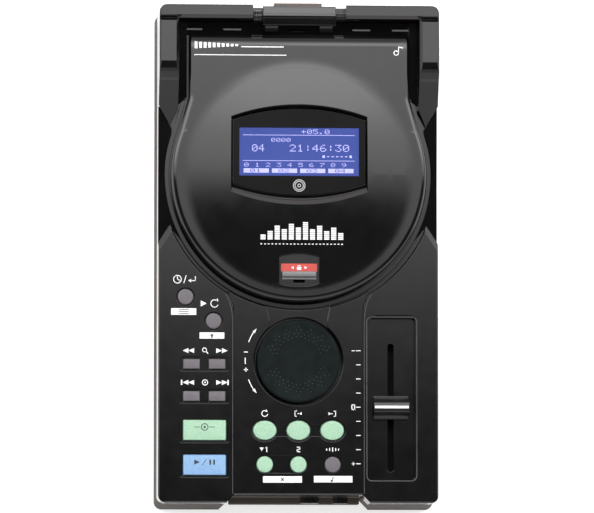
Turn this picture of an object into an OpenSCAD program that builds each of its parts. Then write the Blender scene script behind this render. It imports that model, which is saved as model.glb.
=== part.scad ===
// Tabletop disc player for mixing: a long narrow case with a keyhole lid,
// a wheel, a tempo fader and fourteen buttons.
// Millimetres. X to the right, Y to the back, Z up, origin under the middle of the case.

/* [Case] */
// Width of the case at its foot
case_w = 150; // [148:0.5:152]
// Depth of the case at its foot
case_d = 266.8; // [265:0.1:268]
// Height of the rubber feet
foot_h = 3; // [2:0.5:4]
// Height of the joint line between the two case halves
seam_z = 28; // [27:0.5:29]
// Height of the low decks beside the lid
waist_z = 42; // [41.5:0.1:42.5]
// Height of the front deck that carries the controls
deck_z = 50; // [49.5:0.1:50.5]
// Height of the raised hoop behind the lid
hoop_z = 60.5; // [60:0.5:62]
// Wall thickness of the case mouldings
wall = 2.4; // [2:0.1:2.8]

/* [Lid] */
// Radius of the round part of the lid
lid_r = 67.7; // [67:0.1:68]
// Distance of the disc's centre behind the middle of the case
lid_y = 42.3; // [42:0.1:42.6]
// Half width of the straight neck of the lid
neck_x = 58.7; // [58:0.1:59]
// Radius of the raised dome
dome_r = 61.8; // [61:0.1:62]
// Height of the top of the dome
dome_z = 58.5; // [58:0.1:59]

/* [Controls] */
// Radius of the wheel
wheel_r = 22.1; // [21:0.1:22.4]
// Distance of the wheel in front of the middle of the case
wheel_y = -56.6; // [-57:0.1:-56]
// Full travel of the tempo fader
fader_travel = 60; // [50:1:60]
// Travel of each button
button_travel = 0.8; // [0.5:0.1:0.8]
// Radius of the round grey buttons
round_r = 4.05; // [3.8:0.05:4.2]
// Gap round each button cap
cap_gap = 0.4; // [0.3:0.05:0.5]

/* [Mechanism] */
// Travel of the pickup sled
sled_travel = 32; // [28:1:32]
// Radius of the disc well
well_r = 61; // [60.5:0.1:61]

/* [Hidden] */
$fn = 96;
eps = 0.01;

// Key colours
grey = [0.52, 0.49, 0.53];
green = [0.7, 0.87, 0.76];
blue = [0.58, 0.73, 0.9];

// Case plan
top_w = case_w - 1.2;
foot_front = -133.7;
foot_back = foot_front + case_d;
top_front = foot_front + 1.9;
top_back = foot_back - 1.5;
corner_r = 4;
notch_x = 34.3;
notch_wide = 38.2;
notch_d = 4.2;
panel_front = top_front + notch_d;
plate = 2.5;
channel_r = 73.1;
panel_r = 71.7;
waist_front = 6.2;
waist_tip = 15.5;
tip_x = 68.4;

// Lid
lid_back = 117;
lid_low = waist_z + 1.2;
rim_z = 53.6;
flare_y = 83.2;
flare_x = 63.6;
flare_end = 65.5;
axis_y = 126.7;
axis_z = 54;
pin_r = 2;
knuckle_r = 4.6;
knuckle_x = 19.3;
knuckle_half = 4.9;
knuckle_top = 58.2;
arm_x = 14.5;
hoop_end = 24.7;
hoop_in = 64;
hoop_front = 68;
hoop_bar = 125.1;
hoop_bar_back = 132.3;
stop_w = 25.4;
stop_back = 135;
stop_z0 = 37;
stop_z1 = 45.8;
window_z = 56.3;
window_w = 72.6;
lcd_w = 63.8;
lcd_h = 25.8;
lcd_y = 54.3;
lock_x = 10.6;
lock_y0 = -17.7;
lock_y1 = 0.2;
lock_floor = 54.6;
dome_ball = 956;

// Controls: places of the button centres
time_at = [-60, -22.7];
mode_at = [-45.1, -35.5];
pair_x = [-56.8, -43.2];
search_y = -58.3;
skip_y = -75.4;
cue_at = [-49.8, -93.4];
play_at = [-49.8, -111.8];
loop_x = 17.9;
loop_y = -93.4;
hot_y = -111.5;
key_w = 8.7;
key_d = 5.2;
pad_w = 22.5;
pad_d = 10.6;
hot_r = 4.2;
oval_w = 12.2;
oval_d = 10.1;
sink = 1.2;
proud = 0.9;
flange_h = 1.1;
board_z = 40;
board_t = 1.6;
switch_top = 44.4;
fader_x = 49.4;
fader_y = -81;
fader_floor = 44;
pocket_x0 = 36.4;
pocket_x1 = 62.1;
pocket_y0 = -120.2;
pocket_y1 = -32.1;
well_floor = 43.2;

// Mechanism
tooth_m = 0.75;
tray_floor = 40;
disc_z = 42.7;
chassis_z = 32;
chassis_t = 1.5;
rod_x = 13;
rod_z = 36.6;
rod_r = 1.3;
lens_y = lid_y - 24;
rack_x = 17.9;
pinion_n = 16;
wheel_n = 32;
motor_n = 10;
mesh_gap = 0.12;
pinion_at = [rack_x + tooth_m * pinion_n / 2 + mesh_gap, 2];
feed_dir = -50;
feed_gap = tooth_m * (wheel_n + motor_n) / 2 + mesh_gap;
feed_at = pinion_at + feed_gap * [cos(feed_dir), sin(feed_dir)];
front_z = 18;
knob_x = 7.9;
jack_x = 24.5;
bay_x = 56;
bay_z0 = 8.5;
bay_z1 = 25;
bay_y = 121;
jack_z = 16.5;
post_at = [[-66, -120], [66, -120], [-66, -8], [66, -8], [-66, 112], [66, 112]];
hang_at = [[-34, -27], [34, -27], [-34, 86], [34, 86]];
foot_at = [[-58, -112], [58, -112], [-58, 108], [58, 108]];

// A rectangle with true round corners, given by its edges
module edge_rect(x0, x1, y0, y1, r) {
    translate([x0 + r, y0]) square([x1 - x0 - 2 * r, y1 - y0]);
    translate([x0, y0 + r]) square([x1 - x0, y1 - y0 - 2 * r]);
    for (x = [x0 + r, x1 - r], y = [y0 + r, y1 - r]) translate([x, y]) circle(r);
}

// A slab of a plan between two heights
module slab(z0, z1) {
    translate([0, 0, z0]) linear_extrude(z1 - z0) children();
}

// A straight chamfer cutter: a bar turned by 45 degrees along an edge from a to b at height z
module edge_cut(a, b, z, size) {
    run = b - a;
    long = norm(run);
    translate([a[0], a[1], z]) rotate([0, 0, atan2(run[1], run[0])])
        translate([-size, 0, 0]) rotate([45, 0, 0])
            translate([0, -size / sqrt(2), -size / sqrt(2)])
                cube([long + 2 * size, size * sqrt(2), size * sqrt(2)]);
}

// The block of the bottom case: walls lean in from the foot to the joint line
module foot_block(m, z0, z1) {
    difference() {
        hull() {
            slab(z0, z0 + eps)
                edge_rect(-case_w / 2 + m, case_w / 2 - m, foot_front + m, foot_back - m, corner_r, $fn = 24);
            slab(z1 - eps, z1)
                edge_rect(-top_w / 2 + m, top_w / 2 - m, top_front + m, top_back - m, corner_r, $fn = 24);
        }
        slab(z0 - 1, z1 + 1) polygon([
            [-notch_wide - 2 - m, foot_front - 2], [-notch_wide - 2 - m, foot_front - eps],
            [-notch_x - m, panel_front + m], [notch_x + m, panel_front + m],
            [notch_wide + 2 + m, foot_front - eps], [notch_wide + 2 + m, foot_front - 2]
        ]);
    }
}

// The case outline from the joint line up
module top_plan(m = 0) {
    difference() {
        edge_rect(-top_w / 2 + m, top_w / 2 - m, top_front + m, top_back - m, corner_r);
        polygon([
            [-notch_wide - m, top_front - 1], [-notch_wide - m, top_front + m],
            [-notch_x - m, panel_front + m], [notch_x + m, panel_front + m],
            [notch_wide + m, top_front + m], [notch_wide + m, top_front - 1]
        ]);
    }
}

// The lid outline: a circle with a straight neck to the hinge
module lid_plan(m = 0) {
    translate([0, lid_y]) circle(lid_r + m);
    polygon([
        [-neck_x - m, lid_back + m], [neck_x + m, lid_back + m], [neck_x + m, flare_y],
        [flare_x + m, flare_end], [-flare_x - m, flare_end], [-neck_x - m, flare_y]
    ]);
}

// Both front wings, drawn in by a margin
module wing_plan(m = 0) {
    difference() {
        intersection() {
            top_plan(m);
            for (side = [-1, 1])
                polygon([
                    [side * 90, top_front - 1], [side * 90, waist_front - 0.7 * m],
                    [side * top_w / 2, waist_front - 0.7 * m], [side * tip_x, waist_tip - 1.6 * m],
                    [side * 20, waist_tip], [side * 20, top_front - 1]
                ]);
        }
        translate([0, lid_y]) circle(channel_r + m);
        panel_plan(0.25 + m);
    }
}

// The middle control panel, grown by a margin
module panel_plan(m = 0) {
    difference() {
        polygon([
            [-notch_x - m, panel_front - 1 * m], [notch_x + m, panel_front - 1 * m],
            [notch_x + m, -28], [notch_x + 3 + m, -20], [notch_x + 3 + m, -8],
            [-notch_x - 3 - m, -8], [-notch_x - 3 - m, -20], [-notch_x - m, -28]
        ]);
        translate([0, lid_y]) circle(panel_r - m);
    }
}

// A barrel outline: straight sides, bowed ends
module barrel(w, y0, y1, bow) {
    r = (w * w / 4 + bow * bow) / (2 * bow);
    intersection() {
        translate([-w / 2, y0]) square([w, y1 - y0]);
        translate([0, y1 - r]) circle(r, $fn = 240);
        translate([0, y0 + r]) circle(r, $fn = 240);
    }
}

module oval(w, d) {
    scale([w / d, 1]) circle(d / 2);
}

// Screw post with its bore left open
module post(at, z0, z1, r) {
    translate([at[0], at[1], z0]) cylinder(r = r, h = z1 - z0, $fn = 32);
}

module bottom_case() {
    color([0.13, 0.12, 0.12]) difference() {
        union() {
            difference() {
                foot_block(0, foot_h, seam_z);
                foot_block(wall, foot_h + wall, seam_z + 1);
            }
            for (at = post_at) post(at, foot_h + 1, seam_z, 4);
            for (at = hang_at) post(at, foot_h + 1, 27, 4);
            // floor ribs
            for (y = [-90 : 36 : 90])
                translate([-70, y, foot_h + 1]) cube([140, 1.6, 4]);
            // the box of the connector bay
            translate([-bay_x - wall, bay_y - wall, foot_h + 1])
                cube([2 * bay_x + 2 * wall, wall + 9, bay_z1 + wall - foot_h - 1]);
        }
        translate([-bay_x, bay_y, bay_z0]) cube([2 * bay_x, 20, bay_z1 - bay_z0]);
        for (at = post_at) {
            post(at, 0, seam_z + 1, 1.6);
            post(at, 0, foot_h + 3, 3.2);
        }
        translate([knob_x, -110, front_z]) rotate([90, 0, 0]) cylinder(r = 5.4, h = 30);
        translate([jack_x, -110, front_z]) rotate([90, 0, 0]) cylinder(r = 4.1, h = 30);
        for (x = [-44, -30, -12])
            translate([x, bay_y + 1, jack_z]) rotate([90, 0, 0]) cylinder(r = 4.4, h = 8);
        translate([6, bay_y - 5, jack_z - 5.5]) cube([11, 6, 11]);
        translate([30, bay_y - 5, 11]) cube([14, 6, 8.5]);
    }
}

module top_case() {
    color([0.1, 0.1, 0.1]) difference() {
        union() {
            slab(seam_z, waist_z) top_plan();
            difference() {
                slab(waist_z - eps, deck_z) wing_plan();
                wing_edges();
            }
            channel_wall();
            lid_lip();
            rear_ribs();
        }
        slab(seam_z - 1, waist_z - plate) difference() {
            top_plan(wall);
            for (at = post_at) translate(at) circle(4, $fn = 32);
        }
        // under the wings and the middle panel the moulding is open to its deck
        slab(waist_z - plate - 1, deck_z - plate) difference() {
            wing_plan(wall);
            for (at = post_at) translate(at) circle(4, $fn = 32);
            pocket_box(wall);
        }
        slab(waist_z - plate - 1, waist_z + 1) difference() {
            translate([-37.2, panel_front + wall]) square([70.6, 110]);
            translate([0, lid_y]) circle(panel_r + 2);
        }
        translate([0, lid_y, seam_z]) cylinder(r = well_r + 1.5, h = 30, $fn = 128);
        for (at = post_at) post(at, seam_z - 1, seam_z + 9, 1.35);
        button_holes_left();
        fader_cut();
    }
}

// Sloped edges of the wings towards the waist and along the outside
module wing_edges() {
    for (side = [-1, 1]) {
        edge_cut([side * top_w / 2, waist_front], [side * tip_x, waist_tip], deck_z, 2.4);
        edge_cut([side * top_w / 2, top_front + corner_r], [side * top_w / 2, waist_front], deck_z, 0.8);
        edge_cut([side * (top_w / 2 - corner_r), top_front], [side * notch_wide, top_front], deck_z, 0.8);
    }
    translate([0, lid_y, deck_z - 0.7]) cylinder(r1 = channel_r, r2 = channel_r + 1.4, h = 1.4, $fn = 180);
}

// The wall that closes the channel under the middle panel, and the ledges that carry the panel
module channel_wall() {
    difference() {
        slab(waist_z - eps, deck_z - plate) intersection() {
            panel_plan(0.3);
            difference() {
                translate([0, lid_y]) circle(panel_r + wall - 0.5);
                translate([0, lid_y]) circle(panel_r + 0.1);
            }
        }
        translate([-19.3, -40, deck_z - 4.6]) cube([38.6, 30, 20]);
    }
    for (side = [-1, 1])
        translate([side * (notch_x - 0.8) - 1.4, panel_front + 1, deck_z - plate - 2])
            cube([2.8, 90, 2]);
    translate([-notch_x, panel_front, waist_z - eps]) cube([2 * notch_x, wall, deck_z - plate - waist_z]);
}

// The low lip that follows the lid
module lid_lip() {
    slab(waist_z - eps, waist_z + 2.4) difference() {
        lid_plan(3.2);
        lid_plan(1);
        translate([-90, lid_back - 2]) square([180, 40]);
        for (side = [-1, 1]) translate([side * 61, 82.2]) square([8, 1.8], center = true);
    }
}

// Short upright ribs behind the lid
module rear_ribs() {
    for (x = [-55.8, -35, 0.2, 34, 55.2])
        translate([x - 4.8, 120.3, waist_z - eps]) cube([9.6, 1.1, 2]);
}

// The box that stands round the fader pocket
module pocket_box(m) {
    edge_rect(pocket_x0 - m, pocket_x1 + m, pocket_y0 - m, pocket_y1 + m, 2.2);
}

module fader_cut() {
    slot_half = fader_travel / 2 + 4.1;
    slab(fader_floor, deck_z + 1) difference() {
        pocket_box(0);
        polygon([
            [pocket_x0 - 1, pocket_y1 - 7.6], [pocket_x0, pocket_y1 - 7.6],
            [pocket_x0 + 1.2, pocket_y1 - 3], [pocket_x0 + 3, pocket_y1 - 1.2],
            [pocket_x0 + 5, pocket_y1], [pocket_x0 + 5, pocket_y1 + 1],
            [pocket_x0 - 1, pocket_y1 + 1]
        ]);
    }
    slab(seam_z - 1, fader_floor - 2) pocket_box(0);
    slab(fader_floor - 3, fader_floor + 1)
        edge_rect(fader_x - 1.6, fader_x + 1.6, fader_y - slot_half, fader_y + slot_half, 1.5);
}

// Recesses and through holes for the buttons of the left wing
module button_holes_left() {
    for (at = [time_at, mode_at]) translate([at[0], at[1], 0]) {
        translate([0, 0, deck_z - plate - 1]) cylinder(r = round_r + cap_gap, h = plate + 2);
        translate([0, 0, deck_z - 0.4]) cylinder(r1 = round_r + cap_gap, r2 = round_r + cap_gap + 0.5, h = 0.5);
    }
    for (y = [search_y, skip_y]) {
        slab(deck_z - sink, deck_z + 1) edge_rect(-62.6, -37.3, y - 3.9, y + 3.9, 0.8);
        for (x = pair_x) slab(deck_z - plate - 1, deck_z)
            translate([x, y]) square([key_w + 2 * cap_gap, key_d + 2 * cap_gap], center = true);
    }
    for (at = [cue_at, play_at]) {
        slab(deck_z - 0.6, deck_z + 1)
            edge_rect(at[0] - 12.7, at[0] + 12.7, at[1] - 6.75, at[1] + 6.75, 0.8);
        slab(deck_z - plate - 1, deck_z)
            translate(at) square([pad_w + 2 * cap_gap, pad_d + 2 * cap_gap], center = true);
    }
}

module centre_panel() {
    cup_r = wheel_r + 1.3;
    color([0.11, 0.11, 0.11]) difference() {
        union() {
            slab(deck_z - plate + 0.05, deck_z) panel_plan(-0.05);
            translate([0, wheel_y, well_floor - 1.4]) cylinder(r = cup_r + 1.6, h = deck_z - well_floor);
            // lowered floor of the neck between the wheel well and the channel
            slab(deck_z - 4.4, deck_z - 1) intersection() {
                panel_plan(-0.05);
                neck_plan(1.6);
            }
        }
        translate([0, wheel_y, well_floor]) cylinder(r = cup_r, h = 20);
        translate([0, wheel_y, deck_z - 0.5]) cylinder(r1 = cup_r, r2 = cup_r + 0.9, h = 0.9);
        translate([0, wheel_y, 30]) cylinder(r = 3.4, h = 20, $fn = 32);
        slab(deck_z - 2.6, deck_z + 1) neck_plan(0);
        translate([0, lid_y, deck_z - 0.7]) cylinder(r1 = panel_r, r2 = panel_r + 1.4, h = 1.4, $fn = 180);
        edge_cut([-notch_x, panel_front], [notch_x, panel_front], deck_z, 0.8);
        // joined sink of the three loop buttons
        slab(deck_z - sink, deck_z + 1) {
            translate([-loop_x, loop_y - 3.2]) square([2 * loop_x, 6.4]);
            for (x = [-loop_x, 0, loop_x]) translate([x, loop_y]) oval(oval_w + 2.2, oval_d + 2.2);
        }
        for (x = [-loop_x, 0, loop_x]) slab(deck_z - plate - 1, deck_z)
            translate([x, loop_y]) oval(oval_w + 2 * cap_gap, oval_d + 2 * cap_gap);
        // joined sink of the two hot buttons
        slab(deck_z - sink, deck_z + 1) edge_rect(-loop_x - 4.6, 4.6, hot_y - 4.6, hot_y + 4.6, 4.5);
        for (x = [-loop_x, 0]) translate([x, hot_y, deck_z - plate - 1])
            cylinder(r = hot_r + cap_gap - 0.05, h = 5);
        translate([loop_x + 0.2, hot_y, deck_z - plate - 1]) cylinder(r = round_r + cap_gap, h = 5);
    }
}

// The scoop between the wheel well and the lid channel
module neck_plan(m) {
    polygon([
        [-15.4 - m, wheel_y + 12], [-15.4 - m, -35], [-17.3 - m, -26], [17.3 + m, -26],
        [15.4 + m, -35], [15.4 + m, wheel_y + 12]
    ]);
}

module rear_hoop() {
    color([0.2, 0.2, 0.2]) difference() {
        intersection() {
            slab(waist_z, hoop_z) hoop_plan();
            translate([-90, 0, 0]) rotate([90, 0, 90]) linear_extrude(180) hoop_side();
        }
        // the bar is open over the knuckle of the lid
        translate([-hoop_end, 110, waist_z + 4]) cube([2 * hoop_end, 40, 40]);
        for (side = [-1, 1]) {
            translate([side * 20, axis_y, axis_z]) rotate([0, side * 90, 0])
                cylinder(r = pin_r + 0.02, h = 12.5, $fn = 48);
            edge_cut([side * hoop_in, 60], [side * hoop_in, hoop_bar], hoop_z, 1.5);
            edge_cut([side * top_w / 2, 60], [side * top_w / 2, 140], hoop_z, 1);
        }
        edge_cut([-90, hoop_bar], [90, hoop_bar], hoop_z, 1.5);
        edge_cut([-90, hoop_bar_back], [90, hoop_bar_back], hoop_z, 0.8);
    }
}

module hoop_plan() {
    difference() {
        edge_rect(-top_w / 2, top_w / 2, 40, hoop_bar_back, 4.2);
        translate([-hoop_in, 0]) square([2 * hoop_in, hoop_bar]);
        translate([0, lid_y]) circle(channel_r);
        for (side = [-1, 1])
            polygon([
                [side * 80, 79.4 + 2], [side * top_w / 2, 79.4], [side * 67.4, hoop_front],
                [side * 60, hoop_front], [side * 60, 0], [side * 80, 0]
            ]);
    }
}

module hoop_side() {
    polygon([
        [60, waist_z - 1], [140, waist_z - 1], [140, hoop_z], [102, hoop_z],
        for (i = [1 : 6]) [102 - 10 * sin(7.5 * i) / sin(45), hoop_z - 4 * (1 - cos(7.5 * i)) / (1 - cos(45))],
        [hoop_front + 1, waist_z + 3], [hoop_front - 2, waist_z + 1.2]
    ]);
}

module rear_stop() {
    color([0.32, 0.28, 0.26]) difference() {
        union() {
            translate([-stop_w / 2, hoop_bar_back, stop_z0])
                cube([stop_w, stop_back - hoop_bar_back, stop_z1 - stop_z0]);
            translate([-stop_w / 2, top_back, stop_z0]) cube([stop_w, hoop_bar_back - top_back + eps, 4.8]);
        }
        edge_cut([-stop_w / 2 - 1, stop_back], [stop_w / 2 + 1, stop_back], stop_z1, 0.6);
    }
}

module lid_shell() {
    color([0.07, 0.07, 0.07]) difference() {
        union() {
            difference() {
                union() {
                    lid_body();
                    lid_dome(0);
                }
                lid_hollow();
            }
            // floor of the display recess, and the walls of the lock recess
            slab(window_z - 3.4, window_z - 0.5) barrel(window_w + 4, 24, 81.6, 6.2);
            slab(lock_floor - 1.6, lock_floor + 1)
                translate([-lock_x - 2, lock_y0 - 2]) square([2 * lock_x + 4, lock_y1 - lock_y0 + 4]);
            lid_arms();
        }
        // display recess: sloped walls down to the window seat
        hull() {
            slab(window_z - 1.8, window_z) barrel(window_w - 2, 31, 77.4, 6);
            slab(dome_z + 0.2, dome_z + 0.3) barrel(window_w + 0.6, 25.7, 79.9, 6.2);
        }
        slab(window_z - 4, window_z)
            translate([-lcd_w / 2 - 1, lcd_y - lcd_h / 2 - 1]) square([lcd_w + 2, lcd_h + 2]);
        // lock recess with its slot
        slab(lock_floor, dome_z + 1) barrel(2 * lock_x, lock_y0, lock_y1, 1.7);
        slab(lock_floor - 3, dome_z) translate([-3, -15.5]) square([6, 10]);
        translate([-40, axis_y, axis_z]) rotate([0, 90, 0]) cylinder(r = pin_r + 0.06, h = 80, $fn = 48);
    }
}

// The flat keyhole body of the lid below the dome
module lid_body() {
    difference() {
        union() {
            slab(lid_low, rim_z) intersection() {
                lid_plan();
                translate([-90, -90]) square([180, lid_back - 3.6 + 90]);
            }
            translate([-neck_x, lid_back - 3.6, lid_low]) cube([2 * neck_x, 3.6, rim_z - 3.6 - lid_low]);
            translate([-neck_x, lid_back - 3.6, rim_z - 3.6]) rotate([0, 90, 0])
                cylinder(r = 3.6, h = 2 * neck_x, $fn = 64);
        }
        for (side = [-1, 1]) {
            edge_cut([side * neck_x, flare_y], [side * neck_x, 130], rim_z, 1.1);
            edge_cut([side * flare_x, flare_end], [side * neck_x, flare_y], rim_z, 1.1);
        }
        // outer bevel and the fine groove of the rim
        difference() {
            translate([0, lid_y, rim_z - 1]) cylinder(r = 90, h = 1.1, $fn = 180);
            translate([0, lid_y, rim_z - 1]) cylinder(r1 = lid_r, r2 = lid_r - 1.1, h = 1.1, $fn = 180);
            translate([-90, flare_end, 0]) cube([180, 90, 90]);
        }
        translate([0, lid_y, rim_z - 0.5]) difference() {
            cylinder(r = 66, h = 2, $fn = 180);
            translate([0, 0, -1]) cylinder(r = 65.4, h = 4, $fn = 180);
            translate([-90, 40, -1]) cube([180, 90, 4]);
        }
    }
}

// The raised dome with its soft step, drawn in by a margin
module lid_dome(m) {
    step_r = 2.4;
    turn_x = dome_r - m - step_r;
    translate([0, lid_y, 0]) rotate_extrude($fn = 180) intersection() {
        translate([0, dome_z - m - dome_ball]) circle(dome_ball, $fn = 1800);
        union() {
            translate([0, 50]) square([turn_x, 20]);
            translate([turn_x - eps, 50]) square([step_r + eps, 4 - m]);
            translate([turn_x, 54 - m]) circle(step_r, $fn = 64);
        }
    }
}

module lid_hollow() {
    slab(lid_low - 1, rim_z - 2.2) lid_plan(-2.2);
    lid_dome(2);
}

// The knuckle that turns on the hinge pins: round below, a chamfered block on top, on two rising arms
module lid_arms() {
    translate([-knuckle_x, axis_y, axis_z]) rotate([90, 0, 90]) linear_extrude(2 * knuckle_x) {
        circle(knuckle_r, $fn = 64);
        polygon([
            [-knuckle_half, -1.3], [knuckle_half, -1.3], [knuckle_half, knuckle_top - axis_z - 0.7],
            [knuckle_half - 0.7, knuckle_top - axis_z], [0.7 - knuckle_half, knuckle_top - axis_z],
            [-knuckle_half, knuckle_top - axis_z - 0.7]
        ]);
    }
    for (side = [-1, 1])
        translate([side * arm_x - 3.5, 0, 0]) rotate([90, 0, 90]) linear_extrude(7)
            polygon([
                [lid_back - 2, 46.2], [lid_back + 1.6, 46.2], [axis_y - 2.6, 51.2], [axis_y - 2.6, axis_z + 0.5],
                [axis_y - knuckle_half + 0.6, axis_z + 0.5], [lid_back - 2, 49]
            ]);
}

module lid_liner() {
    color([0.16, 0.16, 0.17]) difference() {
        union() {
            slab(48.6, 50) translate([0, lid_y]) circle(60.4, $fn = 128);
            for (r = [50.5, 56]) slab(50 - eps, 50.7) translate([0, lid_y]) difference() {
                circle(r + 0.8);
                circle(r);
            }
        }
        translate([0, lid_y, 40]) cylinder(r = 9.5, h = 20);
        slab(40, 60) translate([-5, -20]) square([10, 17]);
    }
}

module display_window() {
    color([0.03, 0.03, 0.04]) difference() {
        slab(window_z - 1.75, window_z - 0.2) barrel(window_w - 2.6, 31.3, 77.1, 6);
        slab(window_z - 3, window_z + 1)
            translate([-lcd_w / 2, lcd_y - lcd_h / 2]) square([lcd_w, lcd_h]);
    }
}

module display_panel() {
    color([0.3, 0.36, 0.75])
        slab(52.2, window_z - 0.6) translate([-lcd_w / 2 + 0.1, lcd_y - lcd_h / 2 + 0.1])
            square([lcd_w - 0.2, lcd_h - 0.2]);
}

module display_board() {
    color([0.1, 0.35, 0.2]) {
        slab(50.8, 52.1) translate([-36, 34]) square([72, 40]);
        for (x = [-22, 4, 20]) translate([x, 36, 50.1]) cube([8, 5, 0.75]);
    }
}

module lock_slider() {
    color([0.42, 0.42, 0.43]) {
        translate([-9, -12.2, lock_floor + 0.6]) difference() {
            cube([18, 2.8, 2.4]);
            translate([-1, -0.6, 2.4]) rotate([45, 0, 0]) cube([20, 0.9, 0.9], center = true);
        }
        translate([-9, -13.6, lock_floor + 0.3]) cube([18, 4.2, 0.5]);
        translate([-2.4, -13.4, 51.2]) cube([4.8, 3.4, lock_floor - 51.2 + 0.5]);
    }
}

module lock_marker() {
    color([0.85, 0.2, 0.2]) slab(lock_floor + 0.3, lock_floor + 0.55)
        translate([-9.6, -9.4]) square([19.2, 4.2]);
}

module lock_hook() {
    color([0.6, 0.6, 0.62]) {
        translate([-3.4, -19, 50.2]) cube([6.8, 9, 1]);
        translate([-3.4, -20, 45.6]) cube([6.8, 1.2, 5.6]);
    }
}

module hinge_pins() {
    color([0.12, 0.12, 0.12]) for (side = [-1, 1])
        translate([side * 9, axis_y, axis_z]) rotate([0, side * 90, 0]) cylinder(r = pin_r, h = 23, $fn = 48);
}

module hinge_spring() {
    color([0.7, 0.7, 0.7]) for (i = [0 : 4])
        translate([-20.3 - 0.85 * i, axis_y, axis_z]) rotate([0, 90, 0])
            rotate_extrude($fn = 32) translate([2.9, 0]) circle(0.4, $fn = 16);
}

module disc_tray() {
    color([0.14, 0.14, 0.15]) difference() {
        union() {
            slab(tray_floor - 1.8, waist_z + 1) translate([0, lid_y]) circle(well_r + 1.2, $fn = 128);
            slab(waist_z, waist_z + 1) translate([0, lid_y]) circle(64.6, $fn = 128);
        }
        translate([0, lid_y, tray_floor]) cylinder(r = well_r, h = 10, $fn = 128);
        translate([0, lid_y, tray_floor + 1.6]) cylinder(r1 = well_r, r2 = well_r + 1.6, h = 1.6, $fn = 128);
        translate([0, lid_y, 30]) cylinder(r = 15, h = 20);
        slab(30, tray_floor + 1) translate([-9, lens_y - sled_travel - 4.1]) square([18, sled_travel + 8]);
    }
}

module chassis() {
    color([0.7, 0.71, 0.72]) {
        difference() {
            slab(chassis_z, chassis_z + chassis_t) edge_rect(-40, 44, -33, 92, 3);
            slab(chassis_z - 1, chassis_z + 3) edge_rect(-11, 11, lens_y - sled_travel - 8.3, lens_y + 9.7, 2);
            for (at = hang_at) post(at, 30, 40, 1.6);
            post([feed_at[0], feed_at[1]], 30, 40, 1.4);
            post([0, lid_y], 30, 40, 2.4);
        }
        for (x = [-rod_x, rod_x], y = [-29, 27.4]) difference() {
            translate([x - 1.9, y, chassis_z + chassis_t - eps]) cube([3.8, 2.6, 4.5]);
            translate([x, y - 1, rod_z]) rotate([-90, 0, 0]) cylinder(r = rod_r + 0.02, h = 5, $fn = 32);
        }
        post(pinion_at, chassis_z + chassis_t - eps, 38, 1.2);
        // folded edge flanges
        for (x = [-40, 42.8]) translate([x, -20, chassis_z]) cube([1.2, 100, 4.5]);
    }
}

module dampers() {
    color([0.08, 0.08, 0.08]) for (at = hang_at) {
        post(at, 27, 29.2, 4.4);
        post(at, 29.2 - eps, 30.4, 3.2);
        post(at, 30.4 - eps, chassis_z, 4.4);
    }
}

module spindle_motor() {
    color([0.66, 0.66, 0.68]) translate([0, lid_y, 0]) difference() {
        union() {
            translate([0, 0, chassis_z + chassis_t]) cylinder(r = 11, h = 3.6);
            translate([0, 0, chassis_z + chassis_t + 3.6 - eps]) cylinder(r = 5, h = 0.8);
            translate([0, 0, 29]) cylinder(r = 2.3, h = 5, $fn = 48);
        }
        translate([0, 0, 30.5]) cylinder(r = 1.05, h = 20, $fn = 48);
    }
}

module spindle_hub() {
    color([0.12, 0.12, 0.13]) translate([0, lid_y, 0]) {
        translate([0, 0, 31]) cylinder(r = 1, h = 10, $fn = 48);
        translate([0, 0, 39.2]) rotate_extrude($fn = 96) polygon([
            [0, 0], [6, 0], [6, 1.2], [14, 1.9], [14, disc_z - 39.2], [7.4, disc_z - 39.2],
            [7.4, 5], [6.4, 6.2], [2.2, 6.4], [0, 6]
        ]);
        for (a = [90 : 120 : 330]) rotate([0, 0, a]) translate([6.9, 0, disc_z + 1.3]) sphere(0.9, $fn = 24);
    }
}

module pickup_sled() {
    color([0.2, 0.2, 0.22]) difference() {
        union() {
            translate([-16.4, lens_y - 8, 35.1]) cube([31.8, 16, 2.9]);
            translate([-8, lens_y - 3.5, 38 - eps]) cube([16, 7, 1.7]);
            translate([14.9, lens_y - 36.5, 35.2]) cube([rack_x - tooth_m * 1.1 - 14.9, 39, 2]);
            rack_teeth();
        }
        for (x = [-rod_x, rod_x]) translate([x, lens_y - 20, rod_z]) rotate([-90, 0, 0])
            cylinder(r = rod_r + 0.05, h = 40, $fn = 48);
    }
}

// Rack teeth: a gap lies opposite the pinion at rest, and the row covers the whole travel
module rack_teeth() {
    pitch = PI * tooth_m;
    for (i = [-7 : 8])
        translate([0, pinion_at[1] + pitch * (i - 0.5), 35.2]) linear_extrude(2) polygon([
            [rack_x - 1.2 * tooth_m, 0.82], [rack_x, 0.52], [rack_x + 0.9 * tooth_m, 0.22],
            [rack_x + 0.9 * tooth_m, -0.22], [rack_x, -0.52], [rack_x - 1.2 * tooth_m, -0.82]
        ]);
}

module pickup_lens() {
    color([0.5, 0.6, 0.8]) translate([0, lens_y, 39.7 - eps]) rotate_extrude($fn = 48) {
        square([2.6, 0.7]);
        intersection() {
            translate([0, -3]) circle(4.2, $fn = 96);
            square([1.8, 2]);
        }
    }
}

module guide_rods() {
    color([0.8, 0.8, 0.82]) for (x = [-rod_x, rod_x])
        translate([x, -29.5, rod_z]) rotate([-90, 0, 0]) cylinder(r = rod_r, h = 60, $fn = 48);
}

// A spur gear outline with n teeth of slightly slim trapezoids
module gear_plan(n) {
    r = tooth_m * n / 2;
    circle(r - 1.15 * tooth_m);
    for (i = [0 : n - 1]) rotate(360 * i / n) polygon([
        [r - 1.3 * tooth_m, 0.72], [r, 0.5], [r + 0.9 * tooth_m, 0.2],
        [r + 0.9 * tooth_m, -0.2], [r, -0.5], [r - 1.3 * tooth_m, -0.72]
    ]);
}

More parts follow.
